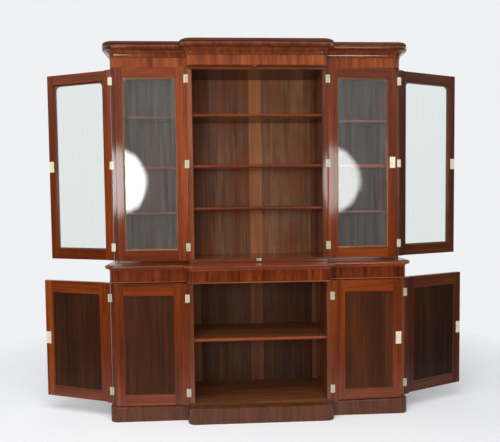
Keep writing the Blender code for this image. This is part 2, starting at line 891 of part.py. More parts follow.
def shelf_section(stage, bay, z):
    """A shelf's section in Y and Z, with a rounded front edge."""
    _, _, front = bay_limits(stage, bay)
    nose = front + SHELF_SET_BACK
    radius = SHELF_THICKNESS / 2
    points = [(UPPER_INNER_DEPTH - SEAT_GAP, z - radius)]
    for y, height in arc(0, 0, radius, radius, -1, 1, NOSE_STEPS):
        points.append((nose + radius - y, z + height))
    points.append((UPPER_INNER_DEPTH - SEAT_GAP, z + radius))
    return points


def housings(stage, bay, face, inward):
    """Grooves for a bay's shelves, cut into the board whose face is at X = face."""
    _, _, front = bay_limits(stage, bay)
    half = SHELF_THICKNESS / 2 + SEAT_GAP
    return [
        box(
            face - inward * OVERRUN,
            face + inward * HOUSING_DEPTH,
            front + SHELF_SET_BACK - SEAT_GAP,
            BACK_FACE + OVERRUN,
            z - half,
            z + half,
        )
        for z in shelf_heights(stage, bay)
    ]


# The pieces


def make_frames(mahogany, veneer):
    """The plinth, the two friezes and the moulded top of the base."""
    plinth = mesh_object("plinth", [swept(BASE, BACK_FACE, plinth_profile())], mahogany)
    join(plinth, [back_rail(BASE, 0, PLINTH_TOP - SEAT_GAP)], "back_rail")
    bearers = []
    middle = BASE_CENTRE_HALF_WIDTH - PARTITION_THICKNESS / 2
    for x in (-middle, 0, middle):
        bearers.append(
            box(
                x - BEARER_THICKNESS / 2,
                x + BEARER_THICKNESS / 2,
                BASE.wing_front - DOOR_DEPTH + PLINTH_WALL / 2 if x else BASE.centre_front - PLINTH_WALL,
                BACK_FACE - RAIL_THICKNESS / 2,
                0,
                PLINTH_TOP - 2 * SEAT_GAP,
            )
        )
    join(plinth, bearers, "bearers")

    frieze = mesh_object("base_frieze", [swept(BASE, BACK_FACE, base_frieze_profile())], veneer)
    join(frieze, [back_rail(BASE, BASE_FRIEZE_BOTTOM + SEAT_GAP, WAIST_BOTTOM - SEAT_GAP)], "back_rail")

    mesh_object("base_top", [stacked(BASE, BACK_FACE, waist_levels())], mahogany)
    cornice = mesh_object("cornice", [swept(UPPER, BACK_FACE, cornice_profile())], veneer)
    return SimpleNamespace(base_frieze=frieze, cornice=cornice)


def board_plan(stage):
    """The plan of a bottom or top board between the outer sides, stepped at the centre bay."""
    end = stage.half_width - SIDE_THICKNESS - SEAT_GAP
    step = stage.centre_half_width
    back = UPPER_INNER_DEPTH - SEAT_GAP
    return [
        (-end, back),
        (-end, stage.wing_front),
        (-step, stage.wing_front),
        (-step, stage.centre_front),
        (step, stage.centre_front),
        (step, stage.wing_front),
        (end, stage.wing_front),
        (end, back),
    ]


def make_back(stage, material):
    """A back of panels, with muntins standing proud of them towards the bays."""
    end = stage.half_width - SIDE_THICKNESS - SEAT_GAP
    front = UPPER_INNER_DEPTH
    recess = front + MUNTIN_THICKNESS
    half = MUNTIN_WIDTH / 2
    post = stage.centre_half_width - PARTITION_THICKNESS / 2
    plan = [(-end, BACK_FACE), (-end, front), (-end + half, front), (-end + half, recess)]
    for x in (-post, 0, post):
        plan += [(x - half, recess), (x - half, front), (x + half, front), (x + half, recess)]
    plan += [(end - half, recess), (end - half, front), (end, front), (end, BACK_FACE)]
    mesh_object(f"{stage.name}_back", [prism(plan, stage.bottom, stage.top)], material)


def make_upright(stage, side, bay, mahogany):
    """An outer side or a partition, with its shelf housings, hinge knuckles and lock mortise."""
    sign = SIDES[side]
    door = next(d for d in DOORS if d.stage is stage and d.side == side and d.bay == bay)
    if bay == "wing":
        outer = stage.half_width
        thickness = SIDE_THICKNESS
        front, back = stage.wing_front, BACK_FACE
        low, high = stage.bottom, stage.top
        name = f"{stage.name}_side_{side}"
        grooves = housings(stage, side, sign * (outer - thickness), sign)
    else:
        outer = stage.centre_half_width
        thickness = PARTITION_THICKNESS
        front, back = stage.centre_front, UPPER_INNER_DEPTH - SEAT_GAP
        low = stage.floor + SEAT_GAP
        high = stage.ceiling - SEAT_GAP
        name = f"{stage.name}_partition_{side}"
        grooves = housings(stage, "centre", sign * (outer - thickness), sign)
        grooves += housings(stage, side, sign * outer, -sign)
    xs = sorted((sign * (outer - thickness), sign * outer))
    board = mesh_object(name, [box(*xs, front, back, low, high)], mahogany)
    cut(board, grooves, "housings")
    if bay == "centre":
        wing = next(d for d in DOORS if d.stage is stage and d.side == side and d.bay == "wing")
        limits = bolt_limits(wing, SOCKET_CLEARANCE)
        _, y = pin_place(wing)
        strike = box(
            sign * (outer - STRIKE_DEPTH),
            sign * (outer + OVERRUN),
            y + limits.v0,
            y + limits.v1,
            limits.z0,
            limits.z1,
        )
        cut(board, [strike], "strike")
    posts, tabs = carcase_knuckles(door)
    join(board, tabs, "hinge_leaves")
    join(board, posts, "hinge_knuckles")


def make_carcase(stage, mahogany, pine):
    """The boards, uprights, back and shelves of a stage. Returns its bottom board."""
    plan = board_plan(stage)
    sill = mesh_object(f"{stage.name}_bottom_board", [prism(plan, stage.bottom, stage.floor)], mahogany)
    if stage is UPPER:
        mesh_object("upper_top_board", [prism(plan, stage.ceiling, stage.top)], mahogany)
    for side in SIDES:
        for bay in ("wing", "centre"):
            make_upright(stage, side, bay, mahogany)
    make_back(stage, pine)
    for bay in ("left", "centre", "right"):
        low, high, _ = bay_limits(stage, bay)
        reach = HOUSING_DEPTH - SEAT_GAP
        heights = shelf_heights(stage, bay)
        for number, z in enumerate(heights, start=1):
            name = f"{stage.name}_{bay}_shelf"
            if len(heights) > 1:
                name += f"_{number}"
            section = shelf_section(stage, bay, z)
            mesh_object(name, [prism(section, low - reach, high + reach, axis="x")], mahogany)
    return sill


def make_lock(door, name, hinge_axis, brass, steel):
    """A cut lock in the free stile and the bolt that slides in it."""
    edge = free_edge(door)
    u0 = edge - LOCK_WIDTH
    section = lock_section(door, 0)
    us = sorted(u for u, _ in towards(door, [(u0, 0), (edge - SEAT_GAP, 0)]))
    case = mesh_object(
        f"{name}_lock",
        [prism(section, *us, axis="x")],
        brass,
        origin=(0, 0, 0),
        parent=hinge_axis,
    )
    room = bolt_limits(door, SEAT_GAP)
    bolt = bolt_limits(door, 0)
    start = edge - BOLT_LENGTH
    limits = (room.v0, room.v1, room.z0, room.z1)
    cut(case, [door_box(door, start - SEAT_GAP, edge + OVERRUN, *limits)], "bolt_channel")
    face = door_faces()
    cut(case, [keyhole(door, face.front, face.back)], "keyhole")
    mesh_object(
        f"{name}_lock_bolt",
        [door_box(door, start, edge - 2 * SEAT_GAP, bolt.v0, bolt.v1, bolt.z0, bolt.z1)],
        steel,
        parent=hinge_axis,
    )


def make_door(door, materials):
    """A door built as if closed, then turned about its hinge pin to where it stands open."""
    name = door_name(door)
    x, y = pin_place(door)
    face = door_faces()
    edge = free_edge(door)
    stage = door.stage
    hinge_axis = bpy.data.objects.new(f"{name}_hinge_axis", None)
    bpy.context.scene.collection.objects.link(hinge_axis)
    hinge_axis.location = (x, y, 0)
    hinge_axis.rotation_euler = (0, 0, SIDES[door.side] * door.angle)

    frame = mesh_object(
        f"{name}_door_frame", [blank(door)], materials.mahogany, origin=(0, 0, 0), parent=hinge_axis
    )
    inside = face.back + OVERRUN
    outside = face.front - OVERRUN
    lip = face.front + LIP_THICKNESS
    room = opening(door, REBATE_WIDTH)
    if has_lock(door):
        cut(frame, [keyhole(door, outside, face.inner - LOCK_DEPTH / 2)], "keyhole")
    cut(frame, [through(door, opening_outline(door), outside, inside)], "opening")
    cut(frame, [door_box(door, room.u0, room.u1, lip, inside, room.z0, room.z1)], "rebate")

    filling, kind, material = (
        (GLASS_THICKNESS, "glass", materials.glass)
        if stage is UPPER
        else (PANEL_THICKNESS, "panel", materials.panel)
    )
    pane = door_box(
        door,
        room.u0 + SEAT_GAP,
        room.u1 - SEAT_GAP,
        lip + SEAT_GAP,
        lip + SEAT_GAP + filling,
        room.z0 + SEAT_GAP,
        room.z1 - SEAT_GAP,
    )
    mesh_object(f"{name}_{kind}", [pane], material, parent=hinge_axis)

    if has_lock(door):
        us = sorted(
            u
            for u, _ in towards(door, [(edge - LOCK_WIDTH - SEAT_GAP, 0), (edge + OVERRUN, 0)])
        )
        section = lock_section(door, SEAT_GAP)
        section = [(v + OVERRUN if v == face.inner else v, z) for v, z in section]
        cut(frame, [prism(section, *us, axis="x")], "lock_mortise")
        make_lock(door, name, hinge_axis, materials.brass, materials.steel)
    else:
        limits = bolt_limits(door, SOCKET_CLEARANCE)
        strike = door_box(
            door, edge - STRIKE_DEPTH, edge + OVERRUN, limits.v0, limits.v1, limits.z0, limits.z1
        )
        cut(frame, [strike], "strike")
    for end in rod_ends(door):
        channel, slot = rod_shells(door, end, SEAT_GAP, ROD_THROW)
        cut(frame, [channel], f"{end}_rod_channel")
        cut(frame, [slot], f"{end}_thumb_slot")
        rod, thumb = rod_shells(door, end, 0, 0)
        bolt = mesh_object(f"{name}_{end}_flush_bolt", [rod], materials.brass, parent=hinge_axis)
        join(bolt, [thumb], "thumb")

    tubes, tabs = door_knuckles(door)
    join(frame, tabs, "hinge_leaves")
    join(frame, tubes, "hinge_knuckles")


def cut_rod_sockets(frames):
    """Where the flush bolts shoot when the left centre doors are shut.

    The upper ends have sockets in what is above them. The foot has a keeper that stands out from the front
    edge of the upper stage's bottom board.
    """
    for door in DOORS:
        for end in rod_ends(door):
            x, y = pin_place(door)
            u, v = rod_spot(door)
            x -= SIDES[door.side] * u
            y += v
            half_width = ROD_WIDTH / 2 + SOCKET_CLEARANCE
            half_depth = ROD_THICKNESS / 2 + SOCKET_CLEARANCE
            hole = (x - half_width, x + half_width, y - half_depth, y + half_depth)
            if end == "top":
                piece, face = (
                    (frames.cornice, CORNICE_BOTTOM)
                    if door.stage is UPPER
                    else (frames.base_frieze, BASE_FRIEZE_BOTTOM)
                )
                depth = ROD_THROW - (face - door.stage.door_top) + SOCKET_CLEARANCE
                cut(piece, [box(*hole, face - OVERRUN, face + depth)], "bolt_socket")
            else:
                high = door.stage.door_bottom - KEEPER_DROP
                low = high - KEEPER_THICKNESS
                front = y - half_depth - KEEPER_THICKNESS
                back = door.stage.centre_front + KEEPER_THICKNESS
                reach = KEEPER_WIDTH / 2
                join(frames.sill, [box(x - reach, x + reach, front, back, low, high)], "keeper")
                cut(frames.sill, [box(*hole, low - KEEPER_THICKNESS, high + OVERRUN)], "keeper_hole")


def even_shading():
    """Weighted normals, so that flat faces beside the cuts and rounded edges look flat."""
    for obj in bpy.data.objects:
        if obj.type == "MESH" and obj.display_type != "WIRE":
            modifier = obj.modifiers.new("shading", "WEIGHTED_NORMAL")
            modifier.keep_sharp = True


def main():
    clear_scene()
    mahogany = principled("mahogany", (0.27, 0.075, 0.03), 0.32)
    veneer = principled("veneer", (0.33, 0.085, 0.025), 0.28)
    materials = SimpleNamespace(
        mahogany=mahogany,
        panel=principled("panel", (0.10, 0.03, 0.02), 0.38),
        glass=principled("glass", (0.9, 0.93, 0.92), 0.03, transmission=0.95),
        brass=principled("brass", (0.72, 0.58, 0.30), 0.35, metallic=1.0),
        steel=principled("bolt_steel", (0.45, 0.42, 0.38), 0.4, metallic=1.0),
    )
    pine = principled("back_boards", (0.20, 0.09, 0.045), 0.55)
    frames = make_frames(mahogany, veneer)
    make_carcase(BASE, mahogany, pine)
    frames.sill = make_carcase(UPPER, mahogany, pine)
    for door in DOORS:
        make_door(door, materials)
    cut_rod_sockets(frames)
    even_shading()


main()
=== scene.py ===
"""Looks of a breakfront library bookcase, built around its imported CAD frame.

Metres, in the frame of the CAD part. A door is built as if closed, in the frame of its hinge pin, with u from
the pin to the free edge and v to the back, and then turned to where it stands open. Each piece of wood has an
attribute named grain: where its points lay in the plank it was cut from, with the first axis along the grain.
Another one, tone, says how light that plank is.
"""

import json
import math
import random
from types import SimpleNamespace

import bmesh
import bpy
import numpy as np
from mathutils import Matrix, Vector


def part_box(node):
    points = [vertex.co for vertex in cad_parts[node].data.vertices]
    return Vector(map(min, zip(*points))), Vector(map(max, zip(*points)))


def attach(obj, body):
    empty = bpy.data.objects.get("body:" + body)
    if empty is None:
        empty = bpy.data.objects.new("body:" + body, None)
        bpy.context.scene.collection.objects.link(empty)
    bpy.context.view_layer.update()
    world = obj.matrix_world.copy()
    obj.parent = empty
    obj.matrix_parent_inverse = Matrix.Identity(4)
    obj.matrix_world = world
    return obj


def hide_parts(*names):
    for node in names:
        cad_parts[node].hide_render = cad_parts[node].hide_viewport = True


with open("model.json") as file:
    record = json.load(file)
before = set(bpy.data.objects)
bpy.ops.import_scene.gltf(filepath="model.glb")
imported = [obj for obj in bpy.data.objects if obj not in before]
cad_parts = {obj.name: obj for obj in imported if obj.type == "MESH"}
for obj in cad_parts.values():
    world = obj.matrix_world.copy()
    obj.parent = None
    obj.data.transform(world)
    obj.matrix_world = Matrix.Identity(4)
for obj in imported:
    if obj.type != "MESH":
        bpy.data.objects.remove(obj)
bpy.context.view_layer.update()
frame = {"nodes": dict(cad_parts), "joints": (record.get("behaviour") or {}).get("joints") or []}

# Camera, fitted to the photograph
CAMERA_PLACE = (-0.2037, -3.0724, 1.3728)
CAMERA_YAW = math.radians(-2.77)
CAMERA_PITCH = math.radians(-2.57)
CAMERA_ROLL = -0.0112
CAMERA_LENS_MM = 35.13
CAMERA_SENSOR_MM = 36.0

# Fits, as in the CAD part
SEAT_GAP = 0.0003
DOOR_GAP = 0.001
PIN_OFFSET = 0.0045

# Boards, as in the CAD part
SIDE_THICKNESS = 0.024
PARTITION_THICKNESS = 0.032
SHELF_SET_BACK = 0.018
MUNTIN_WIDTH = 0.088
MUNTIN_THICKNESS = 0.004

# Mouldings, as in the CAD part
CORNER_RADIUS = 0.038
INNER_CORNER_RADIUS = 0.002
DOOR_DEPTH = 0.039
FRAME_SEAT = 0.060
FRIEZE_HEIGHT = 0.061
FRIEZE_FILLET = 0.003
FRIEZE_FILLET_HEIGHT = 0.004
CAVETTO_REACH = 0.032
CAVETTO_HEIGHT = 0.037
TORUS_REACH = 0.0455
TORUS_QUIRK = 0.002
TORUS_HEIGHT = 0.030
CROWN_REACH = 0.043
CROWN_HEIGHT = 0.019
CROWN_ROUND = 0.008
WAIST_REACH = 0.028
WAIST_COVE_REACH = 0.020
WAIST_COVE_HEIGHT = 0.015
WAIST_NECK = 0.002
WAIST_TOP_EASE = 0.008
BEAD_RADIUS = 0.0045
BEAD_QUIRK = 0.001
PLINTH_REACH = 0.010
PLINTH_WALL = 0.024
PLINTH_FLANGE = 0.020
PLINTH_ROUND = 0.012
RAIL_THICKNESS = 0.020
BEARER_THICKNESS = 0.030

# Doors, as in the CAD part
FRAME_THICKNESS = 0.026
POST_WIDTH = 0.030
LIP_THICKNESS = 0.010
REBATE_WIDTH = 0.009
EDGE_CHAMFER = 0.004
GLAZED_CORNER_RADIUS = 0.030
GLAZING_BEAD = 0.0065
PANEL_BEAD = 0.004
PANEL_BEAD_BEVEL = 0.6

# Hinges, as in the CAD part, and their screws, whose places are shares of the half height and slots' turns
KNUCKLE_RADIUS = 0.004
PIN_RADIUS = 0.0016
KNUCKLES = 5
HINGE_LENGTH = 0.050
LEAF_REACH = 0.009
LEAF_THICKNESS = 0.0025
LEAF_LIFT = 0.00025
LEAF_EASE = 0.0002
PIN_HEAD = 0.0012
UPPER_HINGE_SHARES = (0.070, 0.502, 0.940)
BASE_HINGE_SHARES = (0.103, 0.877)
SCREW_RADIUS = 0.0021
SCREW_SLOT = 0.0005
SCREW_RISE = 0.0002
SCREW_MARGIN = 0.006
SCREW_PLACES = ((-1, 0.4), (0, 1.3), (1, 2.2))
SCREW_TURN_PER_METRE = 90.0
WEB_START = 0.6 * KNUCKLE_RADIUS

# Bolts' plates and keepers
PLATE_THICKNESS = 0.0006
PLATE_RISE = 0.0002
PLATE_MARGIN = 0.0025
KEEPER_REACH = 0.010
KEEPER_THICKNESS = 0.0012
KEEPER_HEIGHT = 0.015
HOLE_MARGIN = 0.001
BOLT_HALF_WIDTH = 0.003

# Edges and counts of facets
EASE = 0.0008
FINE_EASE = 0.0003
FLOOR_EASE = 0.002
EASE_STEPS = 2
SHARP_ANGLE = math.radians(30)
CORNER_STEPS = 14
ARC_STEPS = 10
ROUND_SIDES = 20
ARC_MARGIN_ANGLE = math.radians(5)

# Patterns of the wood: how often each repeats in a metre along the grain, across it and through it
BANDS = (0.8, 9.0, 9.0)
STREAKS = (1.8, 55.0, 55.0)
FIBRES = (9.0, 330.0, 330.0)
RIBBONS = (4.0, 42.0, 16.0)
THIN_LINES = (4.0, 90.0, 30.0)
PORES = (30.0, 900.0, 900.0)
SMEARS = (2.2, 11.0, 11.0)
STAINS = (3.4, 7.5, 7.5)

# Other looks. Colours are written as they show on a screen, from 0 to 255
TONE_SPREAD = 0.24
TONE_PLACES = (0.18, 0.5, 0.82)
STAIN_WARMTH = (1.25, 0.72, 0.34)
UNDERSIDE_SLOPES = (-0.95, -0.6)
WOOD_SHEEN = 0.12
METAL_SHEEN = 0.2
TARNISH_SCALE = 90.0
SCRATCHES = (300.0, 300.0, 2500.0)
GLASS_COLOUR = (242, 247, 244)
GLASS_INDEX = 1.55
GLASS_CLEARNESS = (0.994, 0.974)
GLASS_WAVES = (7.0, 7.0, 3.0)
FILM_STREAKS = (60.0, 60.0, 2.4)

# Light and surroundings. The lamps stand at the end of the script
BACKGROUND = (240, 241, 243)
DOME = 0.42
ROOM_BACK = (-0.35, 0.25)
ROOM_FOOT = 0.03
ROOM_HEAD = 0.8
ROOM_RISE = (-0.05, 0.40)
FLOOR_HALF_SIZE = 14.0
FLOOR_LIFT = 0.17
FLOOR_FRONT = (0.35, 1.1)
FLOOR_FRONT_DIM = 0.15
FLOOR_FADE = (1.5, 2.9)
LAMP_RIM = (0.40, 0.5)

SIDES = {"left": -1, "right": 1}
GRAIN_AXES = {"x": (0, 1, 2), "y": (1, 0, 2), "z": (2, 0, 1)}
PLANK_SPREAD = 4.0


# What the frame says: the case's sizes and the doors' places


HINGES = [joint for joint in frame["joints"] if joint["type"] == "hinge"]


def read_stage(name):
    """The sizes of one stage, from its hinge pins and boards."""
    pins = {joint["name"]: joint["pos_m"] for joint in HINGES}
    wing = pins[f"{name}_right_wing_hinge"]
    centre = pins[f"{name}_right_centre_hinge"]
    half_width, centre_half = wing[0] - PIN_OFFSET, centre[0] - PIN_OFFSET
    board_low, board_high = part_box(f"{name}_bottom_board")
    glazed = name == "upper"
    cover = "upper_top_board" if glazed else "base_frieze"
    back_low, back_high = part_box(f"{name}_back")
    return SimpleNamespace(
        name=name,
        glazed=glazed,
        half_width=half_width,
        centre_half=centre_half,
        end=half_width - SIDE_THICKNESS - SEAT_GAP,
        post=centre_half - PARTITION_THICKNESS / 2,
        wing_front=wing[1] + DOOR_GAP / 2,
        centre_front=centre[1] + DOOR_GAP / 2,
        bottom=board_low.z,
        floor=board_high.z,
        ceiling=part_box(cover)[0].z,
        top=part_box(f"{name}_side_right")[1].z,
        inner_back=back_low.y,
        back=back_high.y,
    )


def read_door(joint):
    """A door's place and sizes, measured in its own frame on the CAD nodes."""
    name = joint["child"].removesuffix("_door")
    level, side, bay = name.split("_")
    stage = STAGES[level]
    sign = SIDES[side]
    angle = -math.radians(joint["range_deg"][0])
    x, y, _ = joint["pos_m"]
    place = Matrix.Translation((x, y, 0)) @ Matrix.Rotation(sign * angle, 4, "Z")
    back_to_local = place.inverted()

    def local_box(node):
        points = np.array([back_to_local @ v.co for v in frame["nodes"][node].data.vertices])
        low, high = points.min(0), points.max(0)
        u0, u1 = sorted((-sign * low[0], -sign * high[0]))
        limits = (u0, u1, low[1], high[1], low[2], high[2])
        return SimpleNamespace(u0=u0, u1=u1, v0=low[1], v1=high[1], z0=low[2], z1=high[2], limits=limits)

    whole = local_box(f"{name}_door_frame")
    filling = f"{name}_glass" if stage.glazed else f"{name}_panel"
    pane = local_box(filling)
    u0, u1 = pane.u0 - SEAT_GAP, pane.u1 + SEAT_GAP
    z0, z1 = pane.z0 - SEAT_GAP, pane.z1 + SEAT_GAP
    front = whole.v0
    height = whole.z1 - whole.z0
    shares = UPPER_HINGE_SHARES if stage.glazed else BASE_HINGE_SHARES
    return SimpleNamespace(
        name=name,
        body=joint["child"],
        stage=stage,
        side=side,
        bay=bay,
        sign=sign,
        place=place,
        pin=(x, y),
        local_box=local_box,
        edge=whole.u1,
        front=front,
        inner=front + FRAME_THICKNESS,
        back=-DOOR_GAP / 2,
        lip=front + LIP_THICKNESS,
        z0=whole.z0,
        z1=whole.z1,
        pane=pane,
        filling=filling,
        hinges=[whole.z0 + share * height for share in shares],
        room=SimpleNamespace(u0=u0, u1=u1, z0=z0, z1=z1),
    )


STAGES = {name: read_stage(name) for name in ("base", "upper")}
DOORS = [read_door(joint) for joint in HINGES]


# Closed shells with eased edges and a grain


def neighbours(count, closed):
    """Pairs of neighbours in a row of count, which may close to a ring."""
    return [(i, (i + 1) % count) for i in range(count if closed else count - 1)]


def quads(rows, length, closed_rows=True, closed_lines=True):
    """The faces between neighbouring rows of points, each with length points."""
    return [
        (i * length + j, i * length + k, m * length + k, m * length + j)
        for i, m in neighbours(rows, closed_rows)
        for j, k in neighbours(length, closed_lines)
    ]


def capped(rows, length):
    """The faces of a solid between rings of points, capped at both ends."""
    last = (rows - 1) * length
    return [tuple(range(length)), tuple(range(last, last + length))] + quads(rows, length, closed_rows=False)


def prism(section, low, high, axis="z"):
    """A straight prism. Its section is in XY for axis z, in XZ for axis y and in YZ for axis x."""
    order = {"z": (0, 1, 2), "y": (0, 2, 1), "x": (2, 0, 1)}[axis]
    points = [tuple((a, b, height)[i] for i in order) for height in (low, high) for a, b in section]
    return points, capped(2, len(section))


def box(x0, x1, y0, y1, z0, z1):
    return prism([(x0, y0), (x1, y0), (x1, y1), (x0, y1)], z0, z1)


def add_object(name, data):
    obj = bpy.data.objects.new(name, data)
    bpy.context.scene.collection.objects.link(obj)
    return obj


def new_bmesh(points, faces):
    """A mesh to work on, with its faces turned outwards."""
    bm = bmesh.new()
    made = [bm.verts.new(point) for point in points]
    for face in faces:
        bm.faces.new([made[i] for i in face])
    bmesh.ops.recalc_face_normals(bm, faces=bm.faces)
    return bm


def add_temporary(bm):
    """A passing object with the mesh of bm, which is used up."""
    mesh = bpy.data.meshes.new("temporary")
    bm.to_mesh(mesh)
    bm.free()
    return add_object("temporary", mesh)


def cut(bm, rooms):
    """The same shell without what lies in the rooms, each given as limits in X, Y and Z."""
    for room in rooms:
        objects = [add_temporary(bm), add_temporary(new_bmesh(*box(*room)))]
        modifier = objects[0].modifiers.new("cut", "BOOLEAN")
        modifier.operation = "DIFFERENCE"
        modifier.solver = "EXACT"
        modifier.object = objects[1]
        done = objects[0].evaluated_get(bpy.context.evaluated_depsgraph_get())
        bm = bmesh.new()
        bm.from_mesh(done.data)
        for obj in objects:
            bpy.data.meshes.remove(obj.data)  # its object goes with it
    return bm


def shell(points, faces, grain="x", plank="", ease=EASE, rooms=()):
    """One closed shell, cut out at the rooms. Grain is the plank's axis, or a place in it for each point."""
    bm = new_bmesh(points, faces)
    if ease:
        sharp = [edge for edge in bm.edges if edge.calc_face_angle(0) > SHARP_ANGLE]
        steps = {"segments": EASE_STEPS, "profile": 0.5}
        bmesh.ops.bevel(bm, geom=sharp, offset=ease, affect="EDGES", clamp_overlap=True, **steps)
    bm = cut(bm, rooms)
    bm.verts.index_update()
    points = [tuple(v.co) for v in bm.verts]
    faces = [[v.index for v in face.verts] for face in bm.faces]
    bm.free()
    chance = random.Random(plank)
    start = [chance.uniform(0, PLANK_SPREAD) for _ in range(3)]
    if isinstance(grain, str):
        axes = GRAIN_AXES[grain]
        grain = [[point[axis] for axis in axes] for point in points]
    grain = [[place[axis] + start[axis] for axis in range(3)] for place in grain]
    return SimpleNamespace(points=points, faces=faces, grain=grain, tone=chance.random())


def make(name, shells, material, replaces=(), body="carcase", place=None):
    """One object from closed shells, riding on a body of the frame."""
    points, faces, grain, tone = [], [], [], []
    for part in shells:
        start = len(points)
        points += part.points
        faces += [[start + i for i in face] for face in part.faces]
        grain += part.grain
        tone += [part.tone] * len(part.points)
    mesh = bpy.data.meshes.new(name)
    mesh.from_pydata(points, [], faces)
    if place:
        mesh.transform(place)
    mesh.attributes.new("grain", "FLOAT_VECTOR", "POINT").data.foreach_set("vector", np.ravel(grain))
    mesh.attributes.new("tone", "FLOAT", "POINT").data.foreach_set("value", tone)
    mesh.shade_smooth()
    mesh.set_sharp_from_angle(angle=SHARP_ANGLE)
    mesh.materials.append(material)
    obj = add_object(name, mesh)
    shading = obj.modifiers.new("shading", "WEIGHTED_NORMAL")
    shading.keep_sharp = True
    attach(obj, body)
    if replaces:
        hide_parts(*replaces)


def make_on(door, name, shells, material, replaces=()):
    """One object that turns with a door, from shells in the door's own frame."""
    make(f"{door.name}_{name}", shells, material, replaces, door.body, door.place)


def board(limits, grain, plank, ease=EASE):
    return shell(*box(*limits), grain=grain, plank=plank, ease=ease)


def arc(a, b, reach, rise, start, end, steps=ARC_STEPS):
    """Points on an ellipse about (a, b), between two angles in quarter turns."""
    points = []
    for i in range(steps + 1):
        angle = math.pi / 2 * (start + (end - start) * i / steps)
        points.append((a + reach * math.cos(angle), b + rise * math.sin(angle)))
    return points


def ring(x, y, radius, sides=ROUND_SIDES):
    return arc(x, y, radius, radius, 0, 4 * (sides - 1) / sides, sides - 1)


# The breakfront outline and what is swept along it


def mirrored(half):
    """A plan's whole outline, from the points of its right half."""
    return [(-x, y) for x, y in reversed(half)] + half


def outline(stage, offset):
    """The breakfront outline from the back left to the back right corner, moved outwards by offset."""
    centre_front = stage.centre_front - DOOR_DEPTH - offset
    wing_front = stage.wing_front - DOOR_DEPTH - offset
    radius = max(CORNER_RADIUS + offset, INNER_CORNER_RADIUS)
    centre_side = stage.centre_half + offset
    wing_side = stage.half_width + offset
    rise = wing_front - (centre_front + radius)
    corner = (centre_side, wing_front)
    last_angle = 0.0
    if rise <= 0:
        meeting = math.asin(rise / radius)
        last_angle = meeting - ARC_MARGIN_ANGLE
        corner = (centre_side - radius + radius * math.cos(meeting), wing_front)
    elif rise <= INNER_CORNER_RADIUS:
        last_angle = -ARC_MARGIN_ANGLE
    quarters = last_angle / (math.pi / 2)
    points = arc(centre_side - radius, centre_front + radius, radius, radius, -1, quarters, CORNER_STEPS)
    points.append(corner)
    points += arc(wing_side - radius, wing_front + radius, radius, radius, -1, 0, CORNER_STEPS)
    points.append((wing_side, stage.back))
    return mirrored(points)


def lengths(points):
    """The running length at each point of a line."""
    found = [0.0]
    for a, b in zip(points, points[1:]):
        found.append(found[-1] + math.dist(a, b))
    return found


def swept(stage, profile, plank, across=True):
    """A closed profile of offsets and heights, swept along the outline and capped at the back.

    Across says that the grain runs up and down, as in a cross-banded veneer, and not along the moulding.
    """
    chains = [outline(stage, offset) for offset, _ in profile]
    length = len(chains[0])
    runs = lengths(outline(stage, 0))
    girths = lengths(profile)
    points = []
    grain = []
    for chain, (offset, height), girth in zip(chains, profile, girths):
        for (x, y), run in zip(chain, runs):
            points.append((x, y, height))
            grain.append((girth, run, offset) if across else (run, girth, offset))
    ends = [tuple(i * length + end for i in range(len(profile))) for end in (0, length - 1)]
    faces = quads(len(profile), length, closed_lines=False) + ends
    return shell(points, faces, grain=grain, plank=plank, ease=0)


def stacked(stage, levels, plank):
    """A solid board whose edge follows offsets and heights from bottom to top, with its grain along X."""
    rings = [outline(stage, offset) for offset, _ in levels]
    points = [(x, y, height) for line, (_, height) in zip(rings, levels) for x, y in line]
    return shell(points, capped(len(levels), len(rings[0])), grain="x", plank=plank, ease=0)


# Materials


